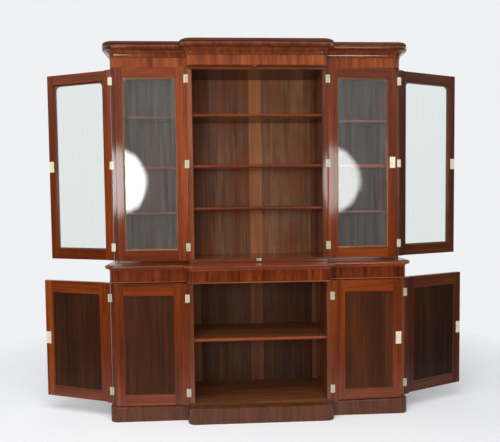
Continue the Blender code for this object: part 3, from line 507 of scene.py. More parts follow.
class Graph:
    """The nodes of a material, the world or a lamp, with short calls to add and join them."""

    def __init__(self, owner, shader="Principled BSDF"):
        owner.use_nodes = True
        self.owner = owner
        self.tree = owner.node_tree
        self.shader = self.tree.nodes[shader]

    def add(self, kind, inputs=(), **settings):
        node = self.tree.nodes.new("ShaderNode" + kind)
        for key, value in settings.items():
            setattr(node, key, value)
        for socket, value in dict(inputs).items():
            self.put(value, node.inputs[socket])
        return node

    def shade(self, value, name):
        self.put(value, self.shader.inputs[name])

    def put(self, value, socket):
        if isinstance(value, bpy.types.NodeSocket):
            self.tree.links.new(value, socket)
        else:
            socket.default_value = value

    def math(self, operation, a, b=0.0, c=0.0):
        return self.add("Math", {0: a, 1: b, 2: c}, operation=operation).outputs[0]

    def vector(self, operation, a, b=(0.0, 0.0, 0.0), output="Value"):
        return self.add("VectorMath", {0: a, 1: b}, operation=operation).outputs[output]

    def stretched(self, vector, scale):
        return self.vector("MULTIPLY", vector, scale, "Vector")

    def noise(self, vector, scale=1.0, detail=3.0, roughness=0.55, distortion=0.0):
        settings = {"Vector": vector, "Scale": scale, "Detail": detail, "Roughness": roughness}
        return self.add("TexNoise", {**settings, "Distortion": distortion}).outputs[0]

    def remap(self, value, low, high, to_low, to_high, kind="LINEAR"):
        limits = {"From Min": low, "From Max": high, "To Min": to_low, "To Max": to_high}
        node = self.add("MapRange", {"Value": value, **limits}, interpolation_type=kind)
        return node.outputs[0]

    def ramp(self, value, places, colours):
        """A colour ramp of three colours."""
        node = self.add("ValToRGB", {0: value})
        elements = node.color_ramp.elements
        elements.new(1.0)
        for element, position, colour in zip(elements, places, colours):
            element.position = position
            element.color = (*colour, 1.0)
        return node.outputs[0]

    def tint(self, factor, base, colour):
        """Mixes a fixed colour into the base."""
        inputs = {0: factor, 6: base, 7: (*colour, 1.0)}
        return self.add("Mix", inputs, data_type="RGBA").outputs[2]

    def bump(self, height, strength, distance):
        inputs = {"Height": height, "Strength": strength, "Distance": distance}
        self.shade(self.add("Bump", inputs).outputs[0], "Normal")

    def blend_with_clear(self, factor):
        """Mixes the shader with a fully clear one and ends the material with it."""
        clear = self.add("BsdfTransparent").outputs[0]
        mixed = self.add("MixShader", {0: factor, 1: self.shader.outputs[0], 2: clear})
        self.put(mixed.outputs[0], self.tree.nodes["Material Output"].inputs[0])


def linear(colour):
    """A colour as it shows on a screen, from 0 to 255, turned into the linear light that a shader takes."""
    return tuple(
        c / 255 / 12.92 if c / 255 <= 0.04045 else ((c / 255 + 0.055) / 1.055) ** 2.4 for c in colour
    )


def wood(name, colours, figure=1.0, stripes=0.0, gloss=0.5, polish=0.14, wear=0.0, underside_shade=0.0, stain=0.0):
    """Mahogany or pine: broad bands, long streaks and short dark pores, under a polish.

    Figure scales the contrast of bands and streaks. Stripes adds the ribbons and thin dark lines of a
    cross-banded veneer. Gloss is the polish's weight, and polish its roughness. Wear greys the wood in long
    patches. Underside shade is painted shade: it darkens the faces that look down. Stain adds warm patches,
    as in old back boards.
    """
    dark, middle, light = map(linear, colours)
    g = Graph(bpy.data.materials.new(name))
    place = g.add("Attribute", attribute_name="grain").outputs["Vector"]
    tone = g.add("Attribute", attribute_name="tone").outputs["Fac"]

    def add_pattern(value, scale, strength, detail):
        pattern = g.noise(g.stretched(place, scale), detail=detail, roughness=0.6)
        return g.math("MULTIPLY_ADD", g.math("SUBTRACT", pattern, 0.5), strength, value)

    value = g.math("MULTIPLY_ADD", g.math("SUBTRACT", tone, 0.5), TONE_SPREAD, 0.5)
    value = add_pattern(value, BANDS, 0.75 * figure, 2.0)
    value = add_pattern(value, STREAKS, 0.65 * figure, 4.0)
    value = add_pattern(value, FIBRES, 0.60, 3.0)
    if stripes:
        value = add_pattern(value, RIBBONS, stripes, 3.0)
    colour = g.ramp(value, TONE_PLACES, (dark, middle, light))
    if stripes:
        lines = g.noise(g.stretched(place, THIN_LINES), detail=2.0, distortion=0.5)
        colour = g.tint(g.remap(lines, 0.56, 0.74, 0.0, 0.35 * stripes), colour, dark)
    pores = g.noise(g.stretched(place, PORES), detail=2.0, roughness=0.5)
    pore_mask = g.remap(pores, 0.58, 0.72, 0.0, 0.35)
    colour = g.tint(pore_mask, colour, [c * 0.35 for c in dark])
    smears = g.noise(g.stretched(place, SMEARS), detail=5.0, roughness=0.62, distortion=0.4)
    rough = g.remap(smears, 0.3, 0.75, 0.40 - 0.1 * gloss, 0.56 - 0.16 * gloss)
    if wear:
        grey = [0.45 * c + 0.55 * sum(middle) / 3 + 0.03 for c in middle]
        colour = g.tint(g.remap(smears, 0.45, 0.72, 0.0, wear), colour, grey)
        rough = g.math("ADD", rough, 0.15)
    if stain:
        patches = g.noise(g.stretched(place, STAINS), detail=4.0, roughness=0.6, distortion=0.7)
        warm = [c * warmth for c, warmth in zip(middle, STAIN_WARMTH)]
        colour = g.tint(g.remap(patches, 0.46, 0.60, 0.0, stain), colour, warm)
    # Painted shade: the faces that look down get darker, as if the light from above does not reach them.
    if underside_shade:
        normal = g.add("NewGeometry").outputs["Normal"]
        slope = g.add("SeparateXYZ", {0: normal}).outputs["Z"]
        mask = g.remap(slope, *UNDERSIDE_SLOPES, underside_shade, 0.0)
        colour = g.tint(mask, colour, [c * 0.5 for c in dark])
    g.shade(colour, "Base Color")
    g.shade(rough, "Roughness")
    g.shade(WOOD_SHEEN, "Specular IOR Level")
    g.shade(gloss, "Coat Weight")
    g.shade(polish, "Coat Roughness")
    g.bump(g.math("MULTIPLY_ADD", pore_mask, -1.0, g.math("MULTIPLY", smears, 0.8)), 0.25, 0.0004)
    return g.owner


def metal(name, colour, tarnish, low_roughness, high_roughness):
    """Old metal, darker and duller in patches, with fine scratches."""
    g = Graph(bpy.data.materials.new(name))
    place = g.add("TexCoord").outputs["Object"]
    patches = g.noise(place, scale=TARNISH_SCALE, detail=5.0, roughness=0.65)
    mask = g.remap(patches, 0.45, 0.70, 0.0, 0.6)
    g.shade(g.tint(mask, (*linear(colour), 1.0), linear(tarnish)), "Base Color")
    g.shade(g.remap(patches, 0.3, 0.7, low_roughness, high_roughness), "Roughness")
    g.shade(METAL_SHEEN, "Metallic")
    g.bump(g.noise(g.stretched(place, SCRATCHES), detail=2.0), 0.12, 0.0001)
    return g.owner


def window_glass():
    """Old drawn glass, a little wavy and dull. Light passes straight through it to what stands behind."""
    g = Graph(bpy.data.materials.new("glass"))
    place = g.add("TexCoord").outputs["Object"]
    film = g.noise(g.stretched(place, FILM_STREAKS), detail=3.0, roughness=0.6, distortion=0.3)
    g.shade((*linear(GLASS_COLOUR), 1.0), "Base Color")
    g.shade(0.0, "Roughness")
    g.shade(GLASS_INDEX, "IOR")
    g.shade(g.remap(film, 0.40, 0.64, *GLASS_CLEARNESS), "Transmission Weight")
    g.bump(g.noise(g.stretched(place, GLASS_WAVES), detail=1.0), 0.12, 0.004)
    g.blend_with_clear(g.add("LightPath").outputs["Is Shadow Ray"])
    return g.owner


MAHOGANY = wood("mahogany", [(70, 25, 2), (113, 45, 7), (154, 71, 19)], gloss=0.8, polish=0.1)
# A darker copy of the mahogany, which paints shade on the right wing doors.
SHADED_MAHOGANY = wood("dark_mahogany", [(50, 19, 8), (80, 36, 17), (112, 56, 30)])
BEAD = wood("bead_mahogany", [(48, 24, 12), (86, 42, 22), (120, 64, 36)])
# A pale wood that paints a highlight along the glazing beads.
HIGHLIGHT_BEAD = wood("worn_bead", [(90, 54, 30), (134, 94, 58), (170, 128, 86)])
PANEL = wood("door_panel", [(46, 20, 6), (71, 34, 13), (97, 49, 20)], gloss=0.2, polish=0.25)
# A darker copy of the panel wood, which paints shade on the wing doors' panels.
SHADED_PANEL = wood("dark_panel", [(28, 13, 4), (50, 25, 9), (72, 38, 15)], gloss=0.2, polish=0.25)
# The case and inside woods paint shade on the faces that look down, under shelves and boards.
CASE = wood("case_mahogany", [(70, 32, 15), (112, 54, 28), (146, 80, 46)], gloss=0.9, polish=0.09, underside_shade=0.8)
INSIDE = wood(
    "inside_mahogany", [(68, 36, 16), (106, 61, 30), (138, 86, 48)],
    gloss=0.15, polish=0.25, wear=0.2, underside_shade=0.8,
)
VENEER = wood(
    "flame_veneer", [(68, 22, 1), (120, 48, 5), (161, 78, 19)],
    figure=0.6, stripes=0.9, gloss=0.7, polish=0.08,
)
CORNICE_WOOD = wood(
    "cornice_mahogany", [(62, 22, 4), (112, 48, 12), (156, 78, 32)],
    figure=0.7, stripes=0.6, gloss=1.0, polish=0.07,
)
PLINTH_WOOD = wood(
    "plinth_mahogany", [(50, 24, 10), (84, 45, 25), (114, 65, 41)],
    figure=0.7, stripes=0.4, gloss=0.4, polish=0.1, wear=0.1,
)
# Back boards and muntins come in lit and shaded copies: the plain ones paint light in the upper centre bay,
# the shaded ones paint shade in the other bays.
BACK = wood(
    "back_boards", [(66, 40, 25), (112, 74, 50), (150, 106, 76)],
    figure=1.1, gloss=0.05, polish=0.3, wear=0.5, stain=0.55,
)
SHADED_BACK = wood(
    "shaded_back_boards", [(40, 24, 14), (70, 45, 29), (96, 66, 43)],
    gloss=0.05, polish=0.3, wear=0.3, stain=0.5,
)
MUNTIN = wood(
    "back_muntins", [(104, 56, 28), (146, 86, 48), (176, 112, 68)],
    figure=0.7, gloss=0.1, polish=0.3, wear=0.1,
)
SHADED_MUNTIN = wood(
    "shaded_muntins", [(76, 42, 24), (104, 62, 38), (130, 82, 54)],
    figure=0.7, gloss=0.1, polish=0.3, wear=0.1,
)
BRASS = metal("brass", (246, 240, 212), (206, 194, 156), 0.36, 0.52)
DULL_BRASS = metal("dull_brass", (206, 204, 176), (136, 130, 104), 0.40, 0.56)
STEEL = metal("bolt_steel", (150, 142, 130), (92, 82, 70), 0.3, 0.5)
GLASS = window_glass()


# Fittings


def screw(x, y, z, turn):
    """A slotted screw head that faces -Y, in the shell's own X and Z, with its slot at an angle."""
    rise = SCREW_RISE / 2
    shapes = [prism(ring(0, 0, SCREW_RADIUS), y, y - rise, axis="y")]
    start = math.asin(SCREW_SLOT / 2 / SCREW_RADIUS) / (math.pi / 2)
    for half in (0, 2):
        line = arc(0, 0, SCREW_RADIUS, SCREW_RADIUS, half + start, half + 2 - start)
        shapes.append(prism(line, y - rise, y - SCREW_RISE, axis="y"))
    turned = Matrix.Translation((x, 0, z)) @ Matrix.Rotation(turn, 4, "Y")
    shapes = [([turned @ Vector(point) for point in points], faces) for points, faces in shapes]
    return [shell(*shape, ease=0) for shape in shapes]


def flip(part, y):
    """The same shell, facing the other way across the plane at y."""
    part.points = [(px, 2 * y - py, pz) for px, py, pz in part.points]
    part.faces = [list(reversed(face)) for face in part.faces]
    return part


def knuckle_spans(z):
    """The heights of each knuckle's ends, for a hinge about z."""
    length = (HINGE_LENGTH - (KNUCKLES - 1) * SEAT_GAP) / KNUCKLES
    start = z - HINGE_LENGTH / 2
    lows = [start + i * (length + SEAT_GAP) for i in range(KNUCKLES)]
    return [(low, low + length) for low in lows]


def tube(x, y, outer, inner, z0, z1):
    """An upright tube with eased rims."""
    ease = LEAF_EASE
    outside = [(outer - ease, z0), (outer, z0 + ease), (outer, z1 - ease), (outer - ease, z1)]
    rings = outside + [(inner, z1), (inner, z0)]
    points = [(px, py, height) for radius, height in rings for px, py in ring(x, y, radius)]
    return shell(points, quads(len(rings), ROUND_SIDES), ease=0)


def leaf(x, y, inward, side, z, spans):
    """One leaf of a butt hinge: a plate let into the wood, its knuckles and three screws.

    Side is -1 for a leaf that lies before the plane through the pin and faces back, and 1 for the other one.
    """
    near = KNUCKLE_RADIUS + SEAT_GAP
    low_x, high_x = sorted((x + inward * near, x + inward * (PIN_OFFSET + LEAF_REACH)))
    low_y, high_y = sorted((y + side * LEAF_LIFT, y + side * (LEAF_LIFT + LEAF_THICKNESS)))
    half = HINGE_LENGTH / 2
    parts = [shell(*box(low_x, high_x, low_y, high_y, z - half, z + half), ease=LEAF_EASE)]
    for low, high in spans:
        parts.append(tube(x, y, KNUCKLE_RADIUS, PIN_RADIUS + SEAT_GAP, low, high))
        web_x = sorted((x + inward * WEB_START, x + inward * PIN_OFFSET))
        parts.append(shell(*box(*web_x, low_y, high_y, low, high), ease=LEAF_EASE))
    plane = y + side * LEAF_LIFT
    middle = x + inward * (PIN_OFFSET + LEAF_REACH / 2)
    for place, turn in SCREW_PLACES:
        head = screw(middle, plane, z + place * (half - SCREW_MARGIN), turn + z)
        parts += head if side > 0 else [flip(part, plane) for part in head]
    return parts


def make_hinges(door):
    """The butt hinges of a door: its own leaves, and those on the case with the pins."""
    moving = []
    fixed = []
    x, y = door.pin
    for z in door.hinges:
        spans = knuckle_spans(z)
        moving += leaf(0, 0, -door.sign, -1, z, spans[1::2])
        fixed += leaf(x, y, -door.sign, 1, z, spans[0::2])
        half = HINGE_LENGTH / 2
        pin = prism(ring(x, y, PIN_RADIUS), z - half - PIN_HEAD, z + half + PIN_HEAD)
        fixed.append(shell(*pin, ease=LEAF_EASE))
    # The upper wing doors' hinges get the lighter brass, and the others get a darker, duller one.
    upper_wing = door.stage.glazed and door.bay == "wing"
    brass = BRASS if upper_wing else DULL_BRASS
    make_on(door, "hinge_leaves", moving, brass)
    make(f"{door.name}_hinge_leaves_on_case", fixed, brass)


# Doors


def towards(door, points):
    """Points given by u, turned to the door's own X."""
    return [(-door.sign * u, w) for u, w in points]


def pockets(door):
    """The rooms in the free stile for the lock and the flush bolts, open to the door's edge."""
    rooms = []
    for kind in ("lock", "top_flush_bolt", "foot_flush_bolt"):
        if f"{door.name}_{kind}" not in frame["nodes"]:
            continue
        part = door.local_box(f"{door.name}_{kind}")
        v1 = door.inner + DOOR_GAP if kind == "lock" else part.v1 + SEAT_GAP
        z0 = door.z0 - DOOR_GAP if kind == "foot_flush_bolt" else part.z0 - SEAT_GAP
        z1 = door.z1 + DOOR_GAP if kind == "top_flush_bolt" else part.z1 + SEAT_GAP
        xs = sorted((-door.sign * (part.u0 - SEAT_GAP), -door.sign * (door.edge + DOOR_GAP)))
        rooms.append((*xs, part.v0 - SEAT_GAP, v1, z0, z1))
    return rooms


def door_box(door, u0, u1, v0, v1, z0, z1):
    return prism(towards(door, [(u0, v0), (u1, v0), (u1, v1), (u0, v1)]), z0, z1)


def rectangle_of_beads(door, room, profile, plank):
    """Four mitred strips round the inside of a rectangle, from a profile of insets and v."""
    near, far = (room.u0, 1), (room.u1, -1)
    foot, head = (room.z0, 1), (room.z1, -1)
    sides = {
        "foot": ("x", (near, foot), (far, foot)),
        "head": ("x", (near, head), (far, head)),
        "near": ("z", (near, foot), (near, head)),
        "far": ("z", (far, foot), (far, head)),
    }
    strips = []
    for side, (grain, *ends) in sides.items():
        points = [
            (-door.sign * (u + u_step * inset), v, z + z_step * inset)
            for (u, u_step), (z, z_step) in ends
            for inset, v in profile
        ]
        faces = capped(2, len(profile))
        strips.append(shell(points, faces, grain=grain, plank=f"{plank}_{side}", ease=0))
    return strips


def hinge_bead(door):
    """A bead along the hinge stile, as thick as the knuckles and in line with them, to close the gap."""
    reach = HINGE_LENGTH / 2 + PIN_HEAD + SEAT_GAP
    steps = [z + step for z in door.hinges for step in (-reach, reach)]
    stops = [door.z0, *steps, door.z1]
    web = sorted((-door.sign * WEB_START, -door.sign * PIN_OFFSET))
    plank = f"{door.name}_hinge_stile"
    strips = []
    for low, high in zip(stops[0::2], stops[1::2]):
        rod = prism(ring(0, 0, KNUCKLE_RADIUS), low, high)
        neck = box(*web, -LEAF_LIFT - LEAF_THICKNESS, -LEAF_LIFT, low, high)
        strips += [shell(*shape, grain="z", plank=plank, ease=FINE_EASE) for shape in (rod, neck)]
    return strips


def make_frame(door):
    """Stiles and rails with their rebate, the rounded hinge post and, if glazed, the rounded corners."""
    glazed = door.stage.glazed
    room = door.room
    u0, u1 = room.u0 + REBATE_WIDTH, room.u1 - REBATE_WIDTH
    z0, z1 = room.z0 + REBATE_WIDTH, room.z1 - REBATE_WIDTH
    post = PIN_OFFSET + POST_WIDTH
    radius = CORNER_RADIUS
    hinge_stile = arc(PIN_OFFSET + radius, door.front + radius, radius, radius, -2, -1)
    hinge_stile += [(u0, door.front), (u0, door.lip), (room.u0, door.lip), (room.u0, door.inner)]
    hinge_stile += [(post, door.inner), (post, door.back)]
    free_stile = [(door.edge - EDGE_CHAMFER, door.front), (door.edge, door.front + EDGE_CHAMFER)]
    free_stile += [(door.edge, door.inner), (room.u1, door.inner), (room.u1, door.lip)]
    free_stile += [(u1, door.lip), (u1, door.front)]
    lip = (door.front, door.lip)
    full = (door.lip, door.inner)
    rails = [
        ("head", u0, u1, *lip, z1, door.z1),
        ("head", room.u0, room.u1, *full, room.z1, door.z1),
        ("foot", u0, u1, *lip, door.z0, z0),
        ("foot", room.u0, room.u1, *full, door.z0, room.z0),
    ]
    parts = []
    for kind, section, rooms in (("hinge", hinge_stile, ()), ("free", free_stile, pockets(door))):
        shape = prism(towards(door, section), door.z0, door.z1)
        parts.append(shell(*shape, grain="z", plank=f"{door.name}_{kind}_stile", rooms=rooms))
    for kind, *limits in rails:
        parts.append(shell(*door_box(door, *limits), grain="x", plank=f"{door.name}_{kind}"))
    if glazed:
        reach = GLAZED_CORNER_RADIUS
        for u, turn in ((u0, 1), (u1, -1)):
            line = [(u + turn * reach * (1 - a), z1 - reach * (1 - b)) for a, b in arc(0, 0, 1, 1, 1, 0)]
            shape = prism(towards(door, [(u, z1)] + line), door.front + FINE_EASE, door.lip, axis="y")
            parts.append(shell(*shape, grain="x", plank=f"{door.name}_head", ease=0))
    parts += hinge_bead(door)
    # The right wing doors get the darker copy as painted shade, since the light falls from the left.
    material = SHADED_MAHOGANY if door.side == "right" and door.bay == "wing" else MAHOGANY
    make_on(door, "stiles_and_rails", parts, material, [f"{door.name}_door_frame"])
    size = GLAZING_BEAD if glazed else PANEL_BEAD
    seat = door.pane.v1
    bevel = size * PANEL_BEAD_BEVEL
    flat = [(size, seat), (bevel, seat + bevel), (0, seat + size)]
    profile = [(0, seat)] + (arc(0, seat, size, size, 0, 1) if glazed else flat)
    beads = rectangle_of_beads(door, room, profile, f"{door.name}_bead")
    # The centre doors' glazing beads get the pale wood as a painted highlight.
    bead_wood = HIGHLIGHT_BEAD if glazed and door.bay == "centre" else BEAD
    make_on(door, "beads", beads, bead_wood)


def make_filling(door):
    """The glass pane or wooden panel in the rebate."""
    shape = door_box(door, *door.pane.limits)
    if door.stage.glazed:
        make_on(door, "pane", [shell(*shape, ease=FINE_EASE)], GLASS, [door.filling])
    else:
        part = shell(*shape, grain="z", plank=f"{door.name}_panel")
        # The wing doors' panels get the darker copy as painted shade, since they turn away from the light.
        field = SHADED_PANEL if door.bay == "wing" else PANEL
        make_on(door, "field", [part], field, [door.filling])


def make_lock(door):
    """The screws of the lock, over the CAD one, and its bolt with eased edges."""
    case = door.local_box(f"{door.name}_lock")
    parts = []
    for u in (case.u0 + SCREW_MARGIN, case.u1 - SCREW_MARGIN):
        for z in (case.z0 + SCREW_MARGIN, case.z1 - SCREW_MARGIN):
            head = screw(-door.sign * u, case.v1, z, u * SCREW_TURN_PER_METRE)
            parts += [flip(part, case.v1) for part in head]
    make_on(door, "lock_screws", parts, BRASS)
    bolt = f"{door.name}_lock_bolt"
    part = shell(*door_box(door, *door.local_box(bolt).limits))
    make(f"{bolt}_eased", [part], STEEL, [bolt], bolt, door.place)


def plate_with_hole(limits, hole, axis):
    """A thin plate of four strips about a rectangular hole, facing along an axis.

    Limits and hole give its face: two sides, then two heights. The last pair of limits is its thickness.
    """
    a0, a1, z0, z1, low, high = limits
    b0, b1, w0, w1 = hole
    strips = ((a0, b0, z0, z1), (b1, a1, z0, z1), (b0, b1, z0, w0), (b0, b1, w1, z1))
    parts = []
    for c0, c1, h0, h1 in strips:
        face = [(c0, h0), (c1, h0), (c1, h1), (c0, h1)]
        parts.append(shell(*prism(face, low, high, axis), ease=FINE_EASE / 2))
    return parts


def make_edge_plate(door):
    """The lock's face plate, let into the free edge of the door, with the bolt's hole."""
    case = door.local_box(f"{door.name}_lock")
    bolt = door.local_box(f"{door.name}_lock_bolt")
    low = door.front + EDGE_CHAMFER + PLATE_MARGIN
    faces = sorted(-door.sign * (door.edge + step) for step in (-PLATE_THICKNESS, PLATE_RISE))
    limits = (low, door.inner - PLATE_MARGIN, case.z0, case.z1, *faces)
    hole = (bolt.v0 - SEAT_GAP, bolt.v1 + SEAT_GAP, bolt.z0 - SEAT_GAP, bolt.z1 + SEAT_GAP)
    make_on(door, "lock_face_plate", plate_with_hole(limits, hole, "x"), BRASS)


def make_keepers(stage):
    """Brass keepers of the upper flush bolts: under the cornice, and on the edge of the bottom board."""
    door = next(d for d in DOORS if d.name == f"{stage.name}_left_centre")
    rod = door.local_box(f"{door.name}_top_flush_bolt")
    x = door.pin[0] + rod.u1 - BOLT_HALF_WIDTH
    y = door.pin[1] + (rod.v0 + rod.v1) / 2
    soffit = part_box("cornice")[0].z
    half = BOLT_HALF_WIDTH + HOLE_MARGIN
    reach = KEEPER_REACH
    ys = (y - reach / 2, y + reach / 2)
    under = box(x - 2 * reach, x - half, *ys, soffit - KEEPER_THICKNESS, soffit)
    foot = stage.floor - KEEPER_HEIGHT
    front = stage.centre_front - KEEPER_THICKNESS
    limits = (x - reach, x + 2 * reach, foot, stage.floor, front, stage.centre_front)
    middle = (foot + stage.floor) / 2
    hole = (x - half, x + half, middle - half, middle + half)
    parts = [shell(*under, ease=FINE_EASE)] + plate_with_hole(limits, hole, "y")
    make("flush_bolt_keepers", parts, DULL_BRASS)


# The case


def inside_wood(stage):
    """The upper stage is polished inside, and the base is worn and dull."""
    return CASE if stage.glazed else INSIDE


def back_rail(stage, z0, z1, plank):
    end = stage.half_width - PLINTH_WALL
    return board((-end, end, stage.back - RAIL_THICKNESS, stage.back - SEAT_GAP, z0, z1), "x", plank)


def make_plinth(stage):
    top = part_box("plinth")[1].z
    outer = PLINTH_REACH
    inner = outer - PLINTH_WALL
    profile = [(inner, 0), (outer - EASE, 0), (outer, EASE)]
    profile += arc(outer - PLINTH_ROUND, top - PLINTH_ROUND, PLINTH_ROUND, PLINTH_ROUND, 0, 1)
    profile += [(-FRAME_SEAT, top), (-FRAME_SEAT, top - PLINTH_FLANGE), (inner, top - PLINTH_FLANGE)]
    parts = [swept(stage, profile, "plinth"), back_rail(stage, 0, top - SEAT_GAP, "plinth_rail")]
    for x in (-stage.post, 0, stage.post):
        front = stage.wing_front - DOOR_DEPTH + PLINTH_WALL / 2 if x else stage.centre_front - PLINTH_WALL
        xs = (x - BEARER_THICKNESS / 2, x + BEARER_THICKNESS / 2)
        bearer = (*xs, front, stage.back - RAIL_THICKNESS, 0, top - PLINTH_FLANGE)
        parts.append(board(bearer, "y", f"bearer_{x}"))
    make("plinth_moulded", parts, PLINTH_WOOD, ["plinth"])


def make_base_frieze(stage):
    low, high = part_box("base_frieze")
    bead_top = low.z + 2 * BEAD_RADIUS
    face = [(-BEAD_QUIRK, bead_top + SEAT_GAP), (0, bead_top + BEAD_QUIRK), (0, high.z)]
    face += [(-FRAME_SEAT, high.z), (-FRAME_SEAT, bead_top + SEAT_GAP)]
    bead = arc(0, low.z + BEAD_RADIUS, BEAD_RADIUS, BEAD_RADIUS, -1, 1)
    bead += [(-FRAME_SEAT, bead_top), (-FRAME_SEAT, low.z)]
    rail = back_rail(stage, low.z + SEAT_GAP, high.z - SEAT_GAP, "frieze_rail")
    veneer = [swept(stage, face, "base_frieze")]
    make("base_frieze_veneer", veneer, VENEER, ["base_frieze"])
    make("base_frieze_bead", [swept(stage, bead, "base_bead", across=False), rail], CASE)


def make_waist(stage):
    low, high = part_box("base_top")
    cove_top = low.z + WAIST_COVE_HEIGHT
    rise = (high.z - cove_top) / 2
    start = WAIST_COVE_REACH + WAIST_NECK
    reach = WAIST_COVE_REACH - WAIST_NECK
    levels = arc(WAIST_COVE_REACH, low.z, reach, WAIST_COVE_HEIGHT, 2, 1)
    nose = arc(start, cove_top + rise, WAIST_REACH - start, rise, -1, 1)
    nose[-1] = (WAIST_REACH - WAIST_TOP_EASE, high.z)
    part = stacked(stage, levels + nose[1:], "waist")
    make("waist_moulding", [part], MAHOGANY, ["base_top"])


def make_cornice(stage):
    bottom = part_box("cornice")[0].z
    frieze_top = bottom + FRIEZE_HEIGHT
    cove_bottom = frieze_top + FRIEZE_FILLET_HEIGHT
    cove_top = cove_bottom + CAVETTO_HEIGHT
    torus_top = cove_top + TORUS_HEIGHT
    top = torus_top + CROWN_HEIGHT
    neck = CAVETTO_REACH + TORUS_QUIRK
    seat = frieze_top - SEAT_GAP
    frieze = [(-FRAME_SEAT, bottom), (0, bottom), (0, seat), (-FRAME_SEAT, seat)]
    inner = -RAIL_THICKNESS
    rise = FRIEZE_FILLET_HEIGHT / 2
    reach = CAVETTO_REACH - FRIEZE_FILLET
    cove = [(inner, frieze_top)]
    cove += arc(0, frieze_top + rise, FRIEZE_FILLET, rise, -1, 1)
    cove += arc(CAVETTO_REACH, cove_bottom, reach, CAVETTO_HEIGHT, 2, 1)
    cove += [(inner, cove_top)]
    half = TORUS_HEIGHT / 2
    torus = [(inner, cove_top + SEAT_GAP)]
    torus += arc(neck, cove_top + half, TORUS_REACH - neck, half - SEAT_GAP, -1, 1)
    torus += [(inner, torus_top - SEAT_GAP)]
    crown = [(inner, torus_top)]
    crown += arc(CROWN_REACH - EASE, torus_top + EASE, EASE, EASE, -1, 0, EASE_STEPS)
    crown += arc(CROWN_REACH - CROWN_ROUND, top - CROWN_ROUND, CROWN_ROUND, CROWN_ROUND, 0, 1)
    crown += [(inner, top)]
    veneer = [swept(stage, frieze, "cornice_frieze")]
    make("cornice_frieze_veneer", veneer, VENEER, ["cornice"])
    parts = [swept(stage, cove, "cavetto"), swept(stage, torus, "torus")]
    make("cornice_cavetto_and_torus", parts, CORNICE_WOOD)
    make("cornice_crown", [swept(stage, crown, "crown", across=False)], PLINTH_WOOD)


def board_plan(stage):
    """The plan of a bottom or top board between the outer sides, stepped at the centre bay."""
    step, end = stage.centre_half, stage.end
    half = [(step, stage.centre_front), (step, stage.wing_front), (end, stage.wing_front)]
    return mirrored(half + [(end, stage.inner_back - SEAT_GAP)])


def make_boards(stage):
    """The bottom and top boards, the sides and the partitions."""
    for level, *heights in (("bottom", stage.bottom, stage.floor), ("top", stage.ceiling, stage.top)):
        node = f"{stage.name}_{level}_board"
        if node in frame["nodes"]:
            shape = prism(board_plan(stage), *heights)
            part = shell(*shape, grain="x", plank=node, ease=FLOOR_EASE)
            make(f"{node}_eased", [part], inside_wood(stage), [node])
    side = (stage.half_width, SIDE_THICKNESS, stage.wing_front, stage.back, stage.bottom, stage.top)
    foot, head = stage.floor + SEAT_GAP, stage.ceiling - SEAT_GAP
    back = stage.inner_back - SEAT_GAP
    partition = (stage.centre_half, PARTITION_THICKNESS, stage.centre_front, back, foot, head)
    for hand, sign in SIDES.items():
        for kind, (x, thickness, *rest) in (("side", side), ("partition", partition)):
            node = f"{stage.name}_{kind}_{hand}"
            xs = sorted((sign * x, sign * (x - thickness)))
            make(f"{node}_board", [board((*xs, *rest), "z", node)], CASE, [node])


def make_back(stage):
    """Upright panels between muntins that stand proud of them. Lit and shaded copies of their woods paint
    light in the upper centre bay and shade elsewhere.
    """
    end, post = stage.end, stage.post
    half = MUNTIN_WIDTH / 2
    edges = [-end + half] + [x + step for x in (-post, 0, post) for step in (-half, half)] + [end - half]

    def uprights(kind, spans, gap, *depths):
        boards = []
        for x0, x1 in spans:
            limits = (x0 + gap, x1 - gap, *depths, stage.bottom, stage.top)
            boards.append(board(limits, "z", f"{stage.name}_{kind}_{x0}"))
        return boards

    spans = [(-end, edges[0]), *zip(edges[1::2], edges[2::2]), (edges[-1], end)]
    muntins = uprights("muntin", spans, 0, stage.inner_back, stage.back)
    recess = stage.inner_back + MUNTIN_THICKNESS
    panels = uprights("panel", zip(edges[0::2], edges[1::2]), SEAT_GAP, recess, stage.back - EASE)
    # Painted light and shade: the upper centre bay gets the lit copies, and the rest get the shaded ones.
    sets = [("muntins", muntins, SHADED_MUNTIN), ("panels", panels, SHADED_BACK)]
    if stage.glazed:
        sets.insert(1, ("centre_muntin", [muntins.pop(2)], MUNTIN))
        sets.append(("centre_panels", [panels.pop(1), panels.pop(1)], BACK))
    node = f"{stage.name}_back"
    for name, boards, material in sets:
        make(f"{node}_{name}", boards, material, [node] if name == "muntins" else [])


def make_shelves(stage):
    """Shelves with a half-round lipping in front, from one side of a bay to the other."""
    inner = stage.centre_half - PARTITION_THICKNESS
    near, far = stage.centre_half, stage.half_width - SIDE_THICKNESS
    bays = {
        "left": (-far, -near, stage.wing_front),
        "centre": (-inner, inner, stage.centre_front),
        "right": (near, far, stage.wing_front),
    }
    for node in [name for name in frame["nodes"] if name.startswith(f"{stage.name}_") and "_shelf" in name]:
        low_x, high_x, front = bays[node.split("_")[1]]
        low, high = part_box(node)
        radius = (high.z - low.z) / 2
        middle = (high.z + low.z) / 2
        nose = front + SHELF_SET_BACK + radius
        back = stage.inner_back - SEAT_GAP
        ends = (low_x + SEAT_GAP, high_x - SEAT_GAP)
        part = board((*ends, nose, back, low.z, high.z), "x", node, ease=0)
        make(f"{node}_board", [part], inside_wood(stage), [node])
        section = [(nose - y, z) for y, z in arc(0, middle, radius, radius, -1, 1)]
        part = shell(*prism(section, *ends, axis="x"), grain="x", plank=f"{node}_lipping", ease=0)
        make(f"{node}_lipping", [part], MAHOGANY)


def dress_fittings():
    """Gives the locks and flush bolts that stay as the CAD has them their metal."""
    for name, node in frame["nodes"].items():
        if name.endswith(("_lock", "_flush_bolt")):
            node.data.materials.clear()
            node.data.materials.append(BRASS)


# Camera, light and surroundings


